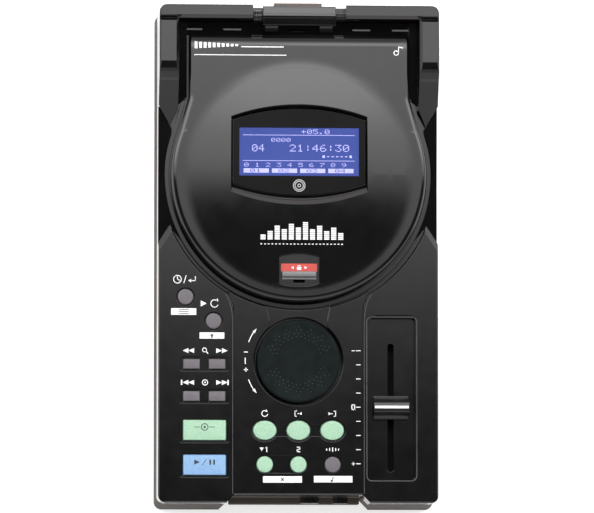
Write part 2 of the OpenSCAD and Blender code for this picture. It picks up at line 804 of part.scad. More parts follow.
module feed_gear() {
    color([0.9, 0.9, 0.86]) translate([pinion_at[0], pinion_at[1], 0]) difference() {
        union() {
            translate([0, 0, 33.8]) rotate(feed_dir) linear_extrude(1) gear_plan(wheel_n);
            translate([0, 0, 34.8 - eps]) rotate(180) linear_extrude(2.5) gear_plan(pinion_n);
        }
        translate([0, 0, 30]) cylinder(r = 1.25, h = 10, $fn = 48);
    }
}

module feed_pinion() {
    color([0.75, 0.65, 0.35]) translate([feed_at[0], feed_at[1], 0]) {
        translate([0, 0, 33.7]) rotate(feed_dir + 180 + 180 / motor_n) linear_extrude(1.3) gear_plan(motor_n);
        translate([0, 0, 24]) cylinder(r = 0.95, h = 11, $fn = 48);
    }
}

module feed_motor() {
    color([0.62, 0.62, 0.64]) translate([feed_at[0], feed_at[1], 0]) difference() {
        union() {
            translate([0, 0, 17]) cylinder(r = 7, h = chassis_z - 17);
            translate([0, 0, 15.5]) cylinder(r = 3, h = 2);
        }
        translate([0, 0, 23]) cylinder(r = 1, h = 20, $fn = 48);
    }
}

module main_board() {
    color([0.1, 0.35, 0.2]) difference() {
        slab(9.6, 11.2) translate([-60, -104]) square([120, 206]);
        for (at = hang_at) post(at, 0, 20, 5);
        for (at = post_at) post(at, 0, 20, 5);
    }
    color([0.1, 0.1, 0.11]) {
        for (x = [-30, 2, 30], y = [-70, -5]) translate([x - 8, y - 8, 11.2]) cube([16, 16, 1.6]);
        translate([-40, 40, 11.2]) cube([24, 12, 2]);
    }
    color([0.15, 0.2, 0.45]) for (x = [-20, -4, 12], y = [64, 78])
        translate([x, y, 11.2]) cylinder(r = 3.6, h = 6.5, $fn = 32);
    color([0.7, 0.7, 0.65]) for (x = [-52, 52]) translate([x - 3, -40, 11.2]) cube([6, 26, 4]);
}

module control_board() {
    color([0.1, 0.35, 0.2]) difference() {
        slab(board_z, board_z + board_t) difference() {
            union() {
                edge_rect(-69, -36, -115.5, -30, 2);
                edge_rect(-69, -40.6, -40, -14.5, 2);
                edge_rect(-37, 33, -120, -34, 2);
            }
            translate([0, lid_y]) circle(channel_r + wall + 0.6);
        }
        translate([0, wheel_y, 30]) cylinder(r = 26.4, h = 20);
    }
    color([0.15, 0.15, 0.16]) for (at = switch_places())
        translate([at[0] - 3, at[1] - 2.4, board_z + board_t]) cube([6, 4.8, switch_top - board_z - board_t]);
}

function switch_places() = [
    time_at, mode_at, cue_at, play_at,
    for (x = pair_x, y = [search_y, skip_y]) [x, y],
    for (x = [-loop_x, 0, loop_x], y = [loop_y, hot_y]) [x, y]
];

module fader_body() {
    color([0.55, 0.55, 0.56]) difference() {
        translate([fader_x - 6, fader_y - 39, 31]) cube([12, 78, fader_floor - 2 - 31]);
        translate([fader_x - 4.6, fader_y - 37, 32.4]) cube([9.2, 74, fader_floor - 2 - 32.4 - 1.4]);
        translate([fader_x - 1.7, fader_y - 34.5, 36]) cube([3.4, 69, 20]);
    }
}

module fader_stem() {
    color([0.75, 0.75, 0.76]) {
        translate([fader_x - 0.8, fader_y - 2, 35]) cube([1.6, 4, 14]);
        translate([fader_x - 4, fader_y - 4, 33]) cube([8, 8, 4]);
    }
}

module fader_cap() {
    color([0.09, 0.09, 0.09]) translate([fader_x - 9.4, fader_y, 0]) difference() {
        rotate([90, 0, 90]) linear_extrude(18.8) fader_profile();
        translate([8.55, -2.05, 40]) cube([1.7, 4.1, 9.05]);
        translate([-1, -0.7, 52.7]) cube([30, 1.4, 1]);
    }
    color([0.95, 0.95, 0.95]) translate([fader_x - 9.4, fader_y - 0.7, 52.3]) cube([18.8, 1.4, 0.7]);
}

// Side profile of the cap: a low skirt, hollow flanks and a raised ridge
module fader_profile() {
    polygon([
        [-6.35, 45], [-6.35, 46.4],
        for (i = [0 : 5]) [-6.35 + 3.3 * sin(15 * i), 46.4 + 5.2 * (1 - cos(15 * i)) + 0.12 * i],
        [-2.9, 52.6], [-2.5, 53], [2.5, 53], [2.9, 52.6],
        for (i = [5 : -1 : 0]) [6.35 - 3.3 * sin(15 * i), 46.4 + 5.2 * (1 - cos(15 * i)) + 0.12 * i],
        [6.35, 46.4], [6.35, 45]
    ]);
}

module jog_wheel() {
    color([0.15, 0.18, 0.18]) translate([0, wheel_y, 0]) {
        rotate_extrude($fn = 128) {
            translate([0, 44.2]) square([wheel_r, 6.2]);
            translate([0, 50.3]) square([wheel_r - 1.2, 1.3]);
            translate([wheel_r - 1.2, 50.4]) circle(1.2, $fn = 32);
        }
    }
}

module jog_shaft() {
    color([0.7, 0.7, 0.7]) translate([0, wheel_y, 37]) cylinder(r = 3, h = 7.2, $fn = 48);
}

module jog_encoder() {
    color([0.25, 0.25, 0.26]) translate([0, wheel_y, 0]) difference() {
        translate([0, 0, 35]) cylinder(r = 9, h = 6.4);
        translate([0, 0, 36.5]) cylinder(r = 3.05, h = 10, $fn = 48);
    }
}

// Foot of every button: the flange under the deck and the stem over its switch
module button_foot(flange_r) {
    translate([0, 0, deck_z - plate - 0.1 - flange_h]) cylinder(r = flange_r, h = flange_h, $fn = 48);
    translate([0, 0, switch_top + button_travel + 0.1]) cylinder(r = 1.6, h = 3, $fn = 32);
}

module round_button(at, r, tint) {
    color(tint) translate([at[0], at[1], 0]) {
        translate([0, 0, deck_z - plate - 0.2]) cylinder(r = r, h = plate + 0.2 + proud - 0.5);
        translate([0, 0, deck_z + proud - 0.5 - eps]) cylinder(r1 = r, r2 = r - 0.5, h = 0.5);
        button_foot(r + 0.9);
    }
}

module oval_button(at, tint) {
    color(tint) translate([at[0], at[1], 0]) {
        slab(deck_z - plate - 0.2, deck_z + proud - 0.4) oval(oval_w, oval_d);
        slab(deck_z + proud - 0.4 - eps, deck_z + proud) oval(oval_w - 0.8, oval_d - 0.8);
        slab(deck_z - plate - 0.1 - flange_h, deck_z - plate - 0.1) oval(oval_w + 1.6, oval_d + 1.6);
        button_foot(3);
    }
}

module square_button(at, w, d, tint) {
    top = deck_z + proud;
    color(tint) translate([at[0], at[1], 0]) {
        slab(deck_z - plate - 0.2, top - 0.4) edge_rect(-w / 2, w / 2, -d / 2, d / 2, 0.5, $fn = 16);
        hull() {
            slab(top - 0.4 - eps, top - 0.4) edge_rect(-w / 2, w / 2, -d / 2, d / 2, 0.5, $fn = 16);
            slab(top - eps, top)
                edge_rect(0.4 - w / 2, w / 2 - 0.4, 0.4 - d / 2, d / 2 - 0.4, 0.3, $fn = 16);
        }
        slab(deck_z - plate - 0.1 - flange_h, deck_z - plate - 0.1)
            square([w + 1.6, d + 1.6], center = true);
        button_foot(2.4);
    }
}

module level_knob() {
    color([0.08, 0.08, 0.08]) translate([knob_x, 0, front_z]) rotate([90, 0, 0]) {
        difference() {
            translate([0, 0, 124.6]) cylinder(r = 5.05, h = 6.4);
            translate([0, 0, 130.6]) difference() {
                cylinder(r = 6, h = 1);
                translate([0, 0, -eps]) cylinder(r1 = 5.05, r2 = 4.5, h = 1);
            }
            for (a = [0 : 15 : 345]) rotate([0, 0, a]) translate([5.2, 0, 126]) cylinder(r = 0.35, h = 6, $fn = 16);
            translate([-0.4, 1.5, 130.6]) cube([0.8, 3, 1]);
        }
        translate([0, 0, 115]) cylinder(r = 3, h = 10, $fn = 48);
    }
}

module level_pot() {
    color([0.45, 0.45, 0.46]) difference() {
        translate([knob_x - 6, -120, front_z - 6.8]) cube([12, 10, 13]);
        translate([knob_x, -112, front_z]) rotate([90, 0, 0]) cylinder(r = 3.06, h = 12, $fn = 48);
    }
}

module phones_jack() {
    color([0.1, 0.1, 0.1]) translate([jack_x, 0, front_z]) rotate([90, 0, 0]) difference() {
        union() {
            translate([0, 0, 118]) cylinder(r = 4, h = 13);
            translate([-5, -6.8, 108]) cube([10, 12, 13]);
        }
        translate([0, 0, 114]) cylinder(r = 1.8, h = 20, $fn = 48);
    }
}

// One coaxial socket on the connector panel
module barrel_jack() {
    translate([0, bay_y, 0]) rotate([-90, 0, 0]) difference() {
        union() {
            translate([0, 0, -3]) cylinder(r = 4.15, h = 11.4);
            cylinder(r = 5.3, h = 1);
        }
        translate([0, 0, 1]) cylinder(r = 1.65, h = 10, $fn = 32);
    }
}

module line_jacks() {
    for (i = [0, 1]) translate([-44 + 14 * i, 0, jack_z])
        color(i == 0 ? [0.85, 0.85, 0.82] : [0.7, 0.12, 0.12]) barrel_jack();
    color([0.1, 0.1, 0.1]) translate([-50, 107, 11.2]) cube([26, 11, 11]);
}

module digital_jack() {
    translate([-12, 0, jack_z]) color([0.85, 0.45, 0.1]) barrel_jack();
    color([0.1, 0.1, 0.1]) translate([-18, 107, 11.2]) cube([12, 11, 11]);
}

module supply_inlet() {
    color([0.08, 0.08, 0.08]) difference() {
        translate([6.3, 107, 11.2]) cube([10.4, 15.6, 10.6]);
        translate([11.5, 112, jack_z]) rotate([-90, 0, 0]) cylinder(r = 3, h = 20, $fn = 32);
    }
    color([0.8, 0.8, 0.8]) translate([11.5, 111.5, jack_z]) rotate([-90, 0, 0]) cylinder(r = 1, h = 10, $fn = 24);
}

module switch_body() {
    color([0.2, 0.2, 0.2]) difference() {
        translate([30.3, 108, 11.2]) cube([13.4, 12.8, 8]);
        translate([32, 112, jack_z - 2.2]) cube([10, 20, 4.4]);
    }
}

module switch_nub() {
    color([0.85, 0.85, 0.85]) {
        translate([32.4, bay_y - 6, jack_z - 1.9]) cube([4.6, 5, 3.8]);
        translate([33, bay_y - 1.2, jack_z - 1.4]) cube([3.4, 4.2, 2.8]);
    }
}

module feet() {
    color([0.1, 0.1, 0.1]) for (at = foot_at) translate([at[0], at[1], 0]) {
        cylinder(r1 = 6.4, r2 = 7, h = 0.8, $fn = 48);
        translate([0, 0, 0.8 - eps]) cylinder(r = 7, h = foot_h - 0.8 + eps, $fn = 48);
    }
}

module screws() {
    color([0.3, 0.3, 0.32]) for (at = post_at) translate([at[0], at[1], 0]) difference() {
        union() {
            translate([0, 0, foot_h + 1.2]) cylinder(r = 2.8, h = 1.8, $fn = 32);
            translate([0, 0, foot_h + 3 - eps]) cylinder(r = 1.3, h = 30, $fn = 24);
        }
        for (a = [0, 90]) rotate([0, 0, a]) translate([-1.6, -0.35, foot_h + 1]) cube([3.2, 0.7, 1.1]);
    }
}

bottom_case();
top_case();
centre_panel();
rear_hoop();
rear_stop();
lid_shell();
lid_liner();
display_window();
display_panel();
display_board();
lock_slider();
lock_marker();
lock_hook();
hinge_pins();
hinge_spring();
disc_tray();
chassis();
dampers();
spindle_motor();
spindle_hub();
pickup_sled();
pickup_lens();
guide_rods();
feed_gear();
feed_pinion();
feed_motor();
main_board();
control_board();
fader_body();
fader_stem();
fader_cap();
jog_wheel();
jog_shaft();
jog_encoder();
round_button(time_at, round_r, grey);  // time_button
round_button(mode_at, round_r, grey);  // mode_button
square_button([pair_x[0], search_y], key_w, key_d, grey);  // search_back
square_button([pair_x[1], search_y], key_w, key_d, grey);  // search_forward
square_button([pair_x[0], skip_y], key_w, key_d, grey);  // skip_back
square_button([pair_x[1], skip_y], key_w, key_d, grey);  // skip_forward
square_button(cue_at, pad_w, pad_d, green);  // cue_button
square_button(play_at, pad_w, pad_d, blue);  // play_button
oval_button([-loop_x, loop_y], green);  // loop_button_1
oval_button([0, loop_y], green);  // loop_button_2
oval_button([loop_x, loop_y], green);  // loop_button_3
round_button([-loop_x, hot_y], hot_r - 0.05, green);  // hot_button_1
round_button([0, hot_y], hot_r - 0.05, green);  // hot_button_2
round_button([loop_x + 0.2, hot_y], round_r, grey);  // tempo_button
level_knob();
level_pot();
phones_jack();
line_jacks();
digital_jack();
supply_inlet();
switch_body();
switch_nub();
feet();
screws();
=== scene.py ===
"""Tabletop disc player for mixing: its finishes, printed marks, display and controls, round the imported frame."""
import math

import bmesh
import bpy
from bpy.props import FloatProperty, FloatVectorProperty, IntProperty, PointerProperty
from mathutils import Matrix, Vector


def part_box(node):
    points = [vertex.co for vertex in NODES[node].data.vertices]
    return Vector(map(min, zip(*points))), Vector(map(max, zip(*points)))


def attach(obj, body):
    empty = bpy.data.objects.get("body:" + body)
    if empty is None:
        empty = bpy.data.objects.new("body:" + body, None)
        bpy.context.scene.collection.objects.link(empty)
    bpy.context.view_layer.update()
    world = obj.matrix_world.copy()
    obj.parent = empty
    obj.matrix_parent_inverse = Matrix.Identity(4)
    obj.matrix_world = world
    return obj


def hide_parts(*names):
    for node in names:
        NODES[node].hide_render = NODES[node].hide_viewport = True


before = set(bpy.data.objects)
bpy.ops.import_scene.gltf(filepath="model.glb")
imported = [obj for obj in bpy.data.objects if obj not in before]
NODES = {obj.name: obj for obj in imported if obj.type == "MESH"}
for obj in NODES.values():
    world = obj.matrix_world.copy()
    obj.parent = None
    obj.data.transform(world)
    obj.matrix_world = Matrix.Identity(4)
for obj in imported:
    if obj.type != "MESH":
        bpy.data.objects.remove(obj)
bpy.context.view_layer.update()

bl_info = {
    "name": "Disc player looks",
    "version": (1, 0, 0),
    "blender": (4, 5, 0),
    "location": "View3D > Sidebar > Disc player",
    "description": "Dresses the frame of a tabletop disc player with finishes, marks and controls",
    "category": "Object",
}

MM = 0.001
FINISH = "finish_"


# ---------------------------------------------------------------- places from the frame

def node_centre(name):
    low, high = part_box(name)
    return (low + high) / 2


def place_mm(name):
    """Middle of a node's box seen from above, in millimetres."""
    centre = node_centre(name)
    return centre.x / MM, centre.y / MM


def top_mm(name):
    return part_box(name)[1].z / MM


def box_mm(name):
    """Lowest and highest corner of a node's box, in millimetres."""
    return [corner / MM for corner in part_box(name)]


def from_centre(x, y, radius, degrees):
    """The place at a distance and a direction from another one."""
    angle = math.radians(degrees)
    return x + radius * math.cos(angle), y + radius * math.sin(angle)


DECK_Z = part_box("top_case")[1].z
LID_X, LID_Y = place_mm("disc_tray")
WHEEL_X, WHEEL_Y = place_mm("jog_wheel")
DECK_MM = DECK_Z / MM
RIM_MM = 53.6
RIM_CLEARANCE = 0.02
DOME_TOP = top_mm("lid_shell")
DOME_RADIUS = 956.0

# The skin of the lid, in millimetres: it leaves the dome at SKIN_START from the middle and is level from SKIN_FLAT.
SKIN_START = 57.0
SKIN_START_AT_LOCK = 60.0
SKIN_FLAT = 62.0
SIDE_ROLL = (2.7, 2.9)
REAR_ROLL = (6.0, 3.0)

# The keyhole outline: a circle of LID_RADIUS that flares into a neck of half the width NECK_HALF.
LID_RADIUS = 67.7
LID_BACK = 117.0
NECK_HALF = 58.7
FLARE_HALF = 63.6
FLARE_START = 83.2
FLARE_END = 65.5

# Printing ink stands this high, and starts this far under the surface that it lies on.
INK_THICKNESS = 0.045
INK_SUNK = 0.02

# The low decks beside the lid and the channels round it, in millimetres.
LOW_DECK_GAP = 0.12
LOW_DECK_BASE = 41.8
WAIST_RADIUS = 71.05
WAIST_ARC = (-29.0, 18.3)
WAIST_STEPS = 16

# Two heights or places this close are the same, in metres.
SLACK = 1e-7

# Blocks and paths on the deck, in millimetres: a place and a size, or points.
PLINTH_SIZE = (70, 5.6, 7.8)
HINGE_CAP = (0, 126.65, 57.7), (38.8, 10.1, 1.6)
CHANNEL_RIB = (0.2, 120.1, 43), (8.6, 1.3, 2.2)
SEAM_PATH = (
    (38.9, -21.0), (37.0, -24.4), (35.7, -28.6), (35.1, -33.0),
    (34.9, -38.0), (34.9, -80.0), (34.9, -127.0),
)
RECESS_CORNERS = ((60.3, -117.4, 270), (60.3, -35.6, 0), (38.9, -35.6, 90), (38.9, -117.4, 180))
RECESS_CORNER_RADIUS = 2.6
GREY_KEYS = (
    "time_button", "mode_button", "search_back", "search_forward",
    "skip_back", "skip_forward", "tempo_button",
)
GREEN_KEYS = (
    "cue_button", "loop_button_1", "loop_button_2", "loop_button_3",
    "hot_button_1", "hot_button_2",
)
BLUE_KEYS = ("play_button",)


# ---------------------------------------------------------------- material helpers

class Recipe:
    """A principled material that is built up from object-space patterns."""

    def __init__(self, name, colour, roughness, **sockets):
        self.material = bpy.data.materials.new(FINISH + name)
        self.material.use_nodes = True
        self.tree = self.material.node_tree
        self.shader = self.tree.nodes["Principled BSDF"]
        self.shader.inputs["Base Color"].default_value = (*colour, 1)
        self.shader.inputs["Roughness"].default_value = roughness
        for socket, value in sockets.items():
            self.shader.inputs[socket.replace("_", " ")].default_value = value
        coordinates = self.tree.nodes.new("ShaderNodeTexCoord")
        self.place = coordinates.outputs["Object"]

    def node(self, kind, **values):
        made = self.tree.nodes.new(kind)
        for key, value in values.items():
            if hasattr(made, key):
                setattr(made, key, value)
            else:
                made.inputs[key.replace("_", " ")].default_value = value
        return made

    def link(self, source, target):
        self.tree.links.new(source, target)

    def stretched(self, scale):
        mapping = self.node("ShaderNodeMapping")
        mapping.inputs["Scale"].default_value = scale
        self.link(self.place, mapping.inputs["Vector"])
        return mapping.outputs["Vector"]

    def noise(self, scale, detail=3.0, place=None):
        made = self.node("ShaderNodeTexNoise", Scale=scale, Detail=detail)
        self.link(place or self.place, made.inputs["Vector"])
        return made.outputs["Fac"]

    def ramp(self, value, low, high, stops):
        """Maps value between low and high on to the colours in stops."""
        made = self.node("ShaderNodeValToRGB")
        elements = made.color_ramp.elements
        elements[0].position = low
        elements[0].color = (*stops[0], 1)
        elements[1].position = high
        elements[1].color = (*stops[-1], 1)
        for index, colour in enumerate(stops[1:-1], 1):
            extra = elements.new(low + (high - low) * index / (len(stops) - 1))
            extra.color = (*colour, 1)
        self.link(value, made.inputs["Fac"])
        return made.outputs["Color"]

    def spread(self, value, low, high):
        """Maps a 0 to 1 pattern on to a narrow range of numbers."""
        made = self.node("ShaderNodeMapRange")
        made.inputs["From Min"].default_value = 0.25
        made.inputs["From Max"].default_value = 0.75
        made.inputs["To Min"].default_value = low
        made.inputs["To Max"].default_value = high
        self.link(value, made.inputs["Value"])
        return made.outputs["Result"]

    def colour(self, value):
        self.link(value, self.shader.inputs["Base Color"])
        return self

    def rough(self, value):
        self.link(value, self.shader.inputs["Roughness"])
        return self

    def bump(self, value, height, strength):
        made = self.node("ShaderNodeBump", Strength=strength, Distance=height)
        self.link(value, made.inputs["Height"])
        previous = self.shader.inputs["Normal"]
        if previous.is_linked:
            self.link(previous.links[0].from_socket, made.inputs["Normal"])
        self.link(made.outputs["Normal"], previous)
        return self

    def uneven(self, scale, detail, low, high):
        """Gloss that wanders between two roughnesses."""
        return self.rough(self.spread(self.noise(scale, detail), low, high))

    def grained(self, scale, height, strength):
        """Relief of a fine pattern, its height in millimetres."""
        return self.bump(self.noise(scale, 2), height * MM, strength)

    def soft_edges(self, radius):
        """Rounds the sharp corners of a moulding in the shading."""
        made = self.node("ShaderNodeBevel", samples=6)
        made.inputs["Radius"].default_value = radius
        normal = self.shader.inputs["Normal"]
        if normal.is_linked:
            bump = normal.links[0].from_node
            while bump.inputs["Normal"].is_linked:
                bump = bump.inputs["Normal"].links[0].from_node
            self.link(made.outputs["Normal"], bump.inputs["Normal"])
        else:
            self.link(made.outputs["Normal"], normal)
        return self


def moulded(name, colour, roughness, grain, edge=0.25, coat=0.0, spread=0.05, dust=1.25, gloss=0.5):
    """Moulded plastic: fine grain, uneven gloss and a slight cloudiness of colour."""
    recipe = Recipe(name, colour, roughness, Coat_Weight=coat, Coat_Roughness=0.08, Specular_IOR_Level=gloss)
    cloud = recipe.noise(38, 4)
    light = tuple(min(1.0, channel * dust + 0.0015) for channel in colour)
    recipe.colour(recipe.ramp(cloud, 0.3, 0.75, [colour, light]))
    recipe.uneven(120, 3, roughness - spread, roughness + spread)
    recipe.grained(2600, grain, 0.5)
    recipe.grained(22, 0.03, 0.2)
    if edge:
        recipe.soft_edges(edge * MM)
    return recipe.material


def metal(name, colour, roughness):
    """Drawn or turned metal with fine lines along it."""
    recipe = Recipe(name, colour, roughness, Metallic=1.0)
    lines = recipe.noise(1.0, 3, recipe.stretched((40, 900, 900)))
    dark = tuple(channel * 0.72 for channel in colour)
    recipe.colour(recipe.ramp(lines, 0.3, 0.7, [dark, colour]))
    recipe.uneven(90, 2, roughness - 0.07, roughness + 0.1)
    recipe.bump(lines, 0.01 * MM, 0.6)
    recipe.soft_edges(0.1 * MM)
    return recipe.material


def rubber(name, colour, shine=0.2):
    """Dull rubber with a fine tooth and pale dust in its pores."""
    recipe = Recipe(name, colour, 0.62, Specular_IOR_Level=shine)
    pale = tuple(channel * 1.6 + 0.002 for channel in colour)
    recipe.colour(recipe.ramp(recipe.noise(160, 5), 0.35, 0.8, [colour, pale]))
    recipe.uneven(60, 2, 0.55, 0.72)
    recipe.grained(3200, 0.03, 0.7)
    recipe.soft_edges(0.3 * MM)
    return recipe.material


def key_plastic(name, colour):
    """Tinted key plastic that lets a little light in, with a sparkle-fine tooth."""
    recipe = Recipe(name, colour, 0.45, Subsurface_Weight=0.1, Subsurface_Scale=0.8 * MM)
    light = tuple(min(1.0, channel * 1.07 + 0.01) for channel in colour)
    dark = tuple(channel * 0.86 for channel in colour)
    recipe.colour(recipe.ramp(recipe.noise(1500, 3), 0.32, 0.68, [dark, colour, light]))
    recipe.uneven(200, 2, 0.4, 0.55)
    recipe.grained(4200, 0.04, 0.5)
    return recipe.material


def board(name, colour):
    """Circuit board: solder resist over faint tracks."""
    recipe = Recipe(name, colour, 0.35)
    tracks = recipe.node("ShaderNodeTexBrick", Scale=160.0, Mortar_Size=0.012)
    recipe.link(recipe.place, tracks.inputs["Vector"])
    tracks.inputs["Color1"].default_value = (*colour, 1)
    tracks.inputs["Color2"].default_value = (*[channel * 0.8 for channel in colour], 1)
    tracks.inputs["Mortar"].default_value = (*[channel * 1.8 for channel in colour], 1)
    recipe.colour(tracks.outputs["Color"])
    recipe.bump(recipe.noise(900, 3), 0.02 * MM, 0.5)
    return recipe.material


def jack_shells(name):
    """Coaxial sockets: a white and a red collar told apart by their place."""
    recipe = Recipe(name, (0.75, 0.75, 0.7), 0.35)
    split = recipe.node("ShaderNodeSeparateXYZ")
    recipe.link(recipe.place, split.inputs["Vector"])
    side = recipe.node("ShaderNodeMapRange")
    side.inputs["From Min"].default_value = -0.0372
    side.inputs["From Max"].default_value = -0.0368
    recipe.link(split.outputs["X"], side.inputs["Value"])
    recipe.colour(recipe.ramp(side.outputs["Result"], 0.4, 0.6, [(0.72, 0.71, 0.66), (0.45, 0.02, 0.02)]))
    recipe.uneven(300, 2, 0.28, 0.42)
    recipe.grained(2400, 0.02, 0.5)
    recipe.soft_edges(0.15 * MM)
    return recipe.material


def backlit_blue(name):
    """Liquid crystal panel: blue backing with a faint random cloudiness of tone, with a fine cell grid."""
    recipe = Recipe(name, (0.05, 0.07, 0.28), 0.2, Specular_IOR_Level=0.1)
    recipe.shader.inputs["Emission Strength"].default_value = 0.22
    cloud = recipe.noise(30, 2)
    tint = recipe.ramp(cloud, 0.3, 0.7, [(0.033, 0.051, 0.212), (0.041, 0.061, 0.24)])
    cells = recipe.node("ShaderNodeTexBrick", Scale=900.0, Mortar_Size=0.03)
    cells.offset = 0.0
    recipe.link(recipe.place, cells.inputs["Vector"])
    cells.inputs["Mortar"].default_value = (0.03, 0.05, 0.21, 1)
    recipe.link(tint, cells.inputs["Color1"])
    recipe.link(tint, cells.inputs["Color2"])
    recipe.colour(cells.outputs["Color"])
    recipe.link(cells.outputs["Color"], recipe.shader.inputs["Emission Color"])
    return recipe.material


def printed(name, colour):
    """Screen printing ink with a slightly uneven edge to its cover."""
    recipe = Recipe(name, colour, 0.5)
    dark = tuple(channel * 0.9 for channel in colour)
    recipe.colour(recipe.ramp(recipe.noise(900, 3), 0.3, 0.6, [dark, colour]))
    recipe.uneven(400, 2, 0.42, 0.58)
    return recipe.material


def recipe_of(maker, *values, **extras):
    """A finish that is made when its name is known."""
    return lambda name: maker(name, *values, **extras)


FINISHES = {
    "case_black": recipe_of(moulded, (0.008, 0.0072, 0.007), 0.42, 0.03, 0.4, dust=1.4, gloss=0.3),
    "base_brown": recipe_of(moulded, (0.05, 0.043, 0.039), 0.5, 0.03, 0.4, dust=1.2, gloss=0.03),
    "plinth_brown": recipe_of(moulded, (0.088, 0.077, 0.067), 0.5, 0.03, 0.4, dust=1.15, gloss=0.1),
    "deck_black": recipe_of(moulded, (0.002, 0.0018, 0.0021), 0.085, 0.001, 0.3, spread=0.015),
    "lid_black": recipe_of(moulded, (0.0025, 0.0025, 0.0027), 0.085, 0.001, 0.35, spread=0.015),
    "skin_black": recipe_of(moulded, (0.0025, 0.0025, 0.0027), 0.085, 0.001, 0.0, spread=0.015),
    # The beads' grey, far paler than the deck black, is a painted highlight along the seams and the fader's recess;
    # their raised shape catches real light as well.
    "bead_grey": recipe_of(moulded, (0.028, 0.027, 0.027), 0.3, 0.002, 0.0, spread=0.05),
    "inner_black": recipe_of(moulded, (0.009, 0.009, 0.0095), 0.5, 0.04, 0.2),
    "stop_brown": recipe_of(moulded, (0.075, 0.058, 0.05), 0.5, 0.03, 0.2),
    "window_black": recipe_of(moulded, (0.004, 0.0038, 0.004), 0.1, 0.001, 0.15, spread=0.02, gloss=0.07),
    "display_blue": backlit_blue,
    "board_green": recipe_of(board, (0.012, 0.085, 0.035)),
    "slider_grey": recipe_of(moulded, (0.12, 0.12, 0.125), 0.35, 0.02, 0.15),
    "marker_red": recipe_of(moulded, (0.5, 0.045, 0.035), 0.45, 0.02, 0.05, dust=1.05),
    "steel": recipe_of(metal, (0.56, 0.56, 0.58), 0.3),
    "spring_steel": recipe_of(metal, (0.09, 0.09, 0.095), 0.35),
    "brass": recipe_of(metal, (0.72, 0.52, 0.22), 0.28),
    "rubber_black": recipe_of(rubber, (0.018, 0.018, 0.018)),
    "wheel_rubber": recipe_of(rubber, (0.002, 0.0042, 0.0043), shine=0.1),
    "dot_rubber": recipe_of(rubber, (0.012, 0.018, 0.018), shine=0.3),
    "lens_glass": recipe_of(moulded, (0.12, 0.16, 0.35), 0.05, 0.001, 0.05, coat=1.0, spread=0.01),
    "gear_white": recipe_of(moulded, (0.62, 0.61, 0.56), 0.42, 0.01, 0.06, dust=1.05),
    "slot_black": recipe_of(moulded, (0.004, 0.004, 0.004), 0.5, 0.01, 0.1, gloss=0.1),
    "fader_black": recipe_of(moulded, (0.006, 0.006, 0.0062), 0.3, 0.02, 0.25),
    "key_grey": recipe_of(key_plastic, (0.098, 0.088, 0.1)),
    "key_green": recipe_of(key_plastic, (0.275, 0.45, 0.315)),
    "key_blue": recipe_of(key_plastic, (0.175, 0.315, 0.52)),
    "jack_shells": jack_shells,
    "jack_orange": recipe_of(moulded, (0.7, 0.2, 0.02), 0.38, 0.02, 0.15, dust=1.05),
    "switch_white": recipe_of(moulded, (0.6, 0.6, 0.58), 0.45, 0.02, 0.1, dust=1.05),
    "ink_white": recipe_of(printed, (0.8, 0.8, 0.82)),
    "ink_grey": recipe_of(printed, (0.35, 0.35, 0.36)),
    "ink_dark": recipe_of(printed, (0.012, 0.02, 0.022)),
    "display_mark": recipe_of(printed, (0.42, 0.42, 0.85)),
}

# The nodes of the frame that each finish dresses.
DRESSED = {
    "base_brown": "bottom_case",
    "deck_black": "top_case centre_panel",
    "lid_black": "rear_hoop lid_shell",
    "stop_brown": "rear_stop",
    "inner_black": "lid_liner disc_tray spindle_hub pickup_sled",
    "window_black": "display_window",
    "display_blue": "display_panel",
    "board_green": "display_board main_board control_board",
    "slider_grey": "lock_slider",
    "marker_red": "lock_marker",
    "slot_black": "lock_hook fader_body fader_stem",
    "case_black": "hinge_pins jog_encoder switch_body",
    "spring_steel": "hinge_spring",
    "steel": "chassis spindle_motor guide_rods feed_motor jog_shaft level_pot screws",
    "rubber_black": "dampers feet",
    "lens_glass": "pickup_lens",
    "gear_white": "feed_gear",
    "brass": "feed_pinion",
    "fader_black": "fader_cap level_knob phones_jack supply_inlet",
    "wheel_rubber": "jog_wheel",
    "jack_shells": "line_jacks",
    "jack_orange": "digital_jack",
    "switch_white": "switch_nub",
    "key_grey": " ".join(GREY_KEYS),
    "key_green": " ".join(GREEN_KEYS),
    "key_blue": " ".join(BLUE_KEYS),
}
NODE_FINISH = {node: name for name, nodes in DRESSED.items() for node in nodes.split()}


def finish(name):
    """The named material, made once."""
    return bpy.data.materials.get(FINISH + name) or FINISHES[name](name)


# ---------------------------------------------------------------- mesh helpers

def new_piece(shape, name, body, finishes, replaced=(), soft_angle=40):
    """Makes a finished object of a bmesh and lets it ride on a body of the frame."""
    bmesh.ops.recalc_face_normals(shape, faces=shape.faces)
    mesh = bpy.data.meshes.new(name)
    shape.to_mesh(mesh)
    shape.free()
    for item in [finishes] if isinstance(finishes, str) else finishes:
        mesh.materials.append(finish(item))
    mesh.polygons.foreach_set("use_smooth", [True] * len(mesh.polygons))
    mesh.set_sharp_from_angle(angle=math.radians(soft_angle))
    piece = bpy.data.objects.new(name, mesh)
    bpy.context.scene.collection.objects.link(piece)
    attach(piece, body)
    if replaced:
        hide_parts(*replaced)
    return piece


def at_mm(x, y, z=0.0):
    return Matrix.Translation((x * MM, y * MM, z * MM))


def block(shape, place, size):
    """Adds a block that is centred on a place. Millimetres."""
    matrix = at_mm(*place) @ Matrix.Diagonal((*(length * MM for length in size), 1))
    bmesh.ops.create_cube(shape, size=1, matrix=matrix)


def bevel(shape, edges, width, segments=2):
    bmesh.ops.bevel(shape, geom=edges, offset=width * MM, offset_type="OFFSET", segments=segments,
                    affect="EDGES", profile=0.5, material=-1)


def new_verts(result):
    return [item for item in result["geom"] if isinstance(item, bmesh.types.BMVert)]


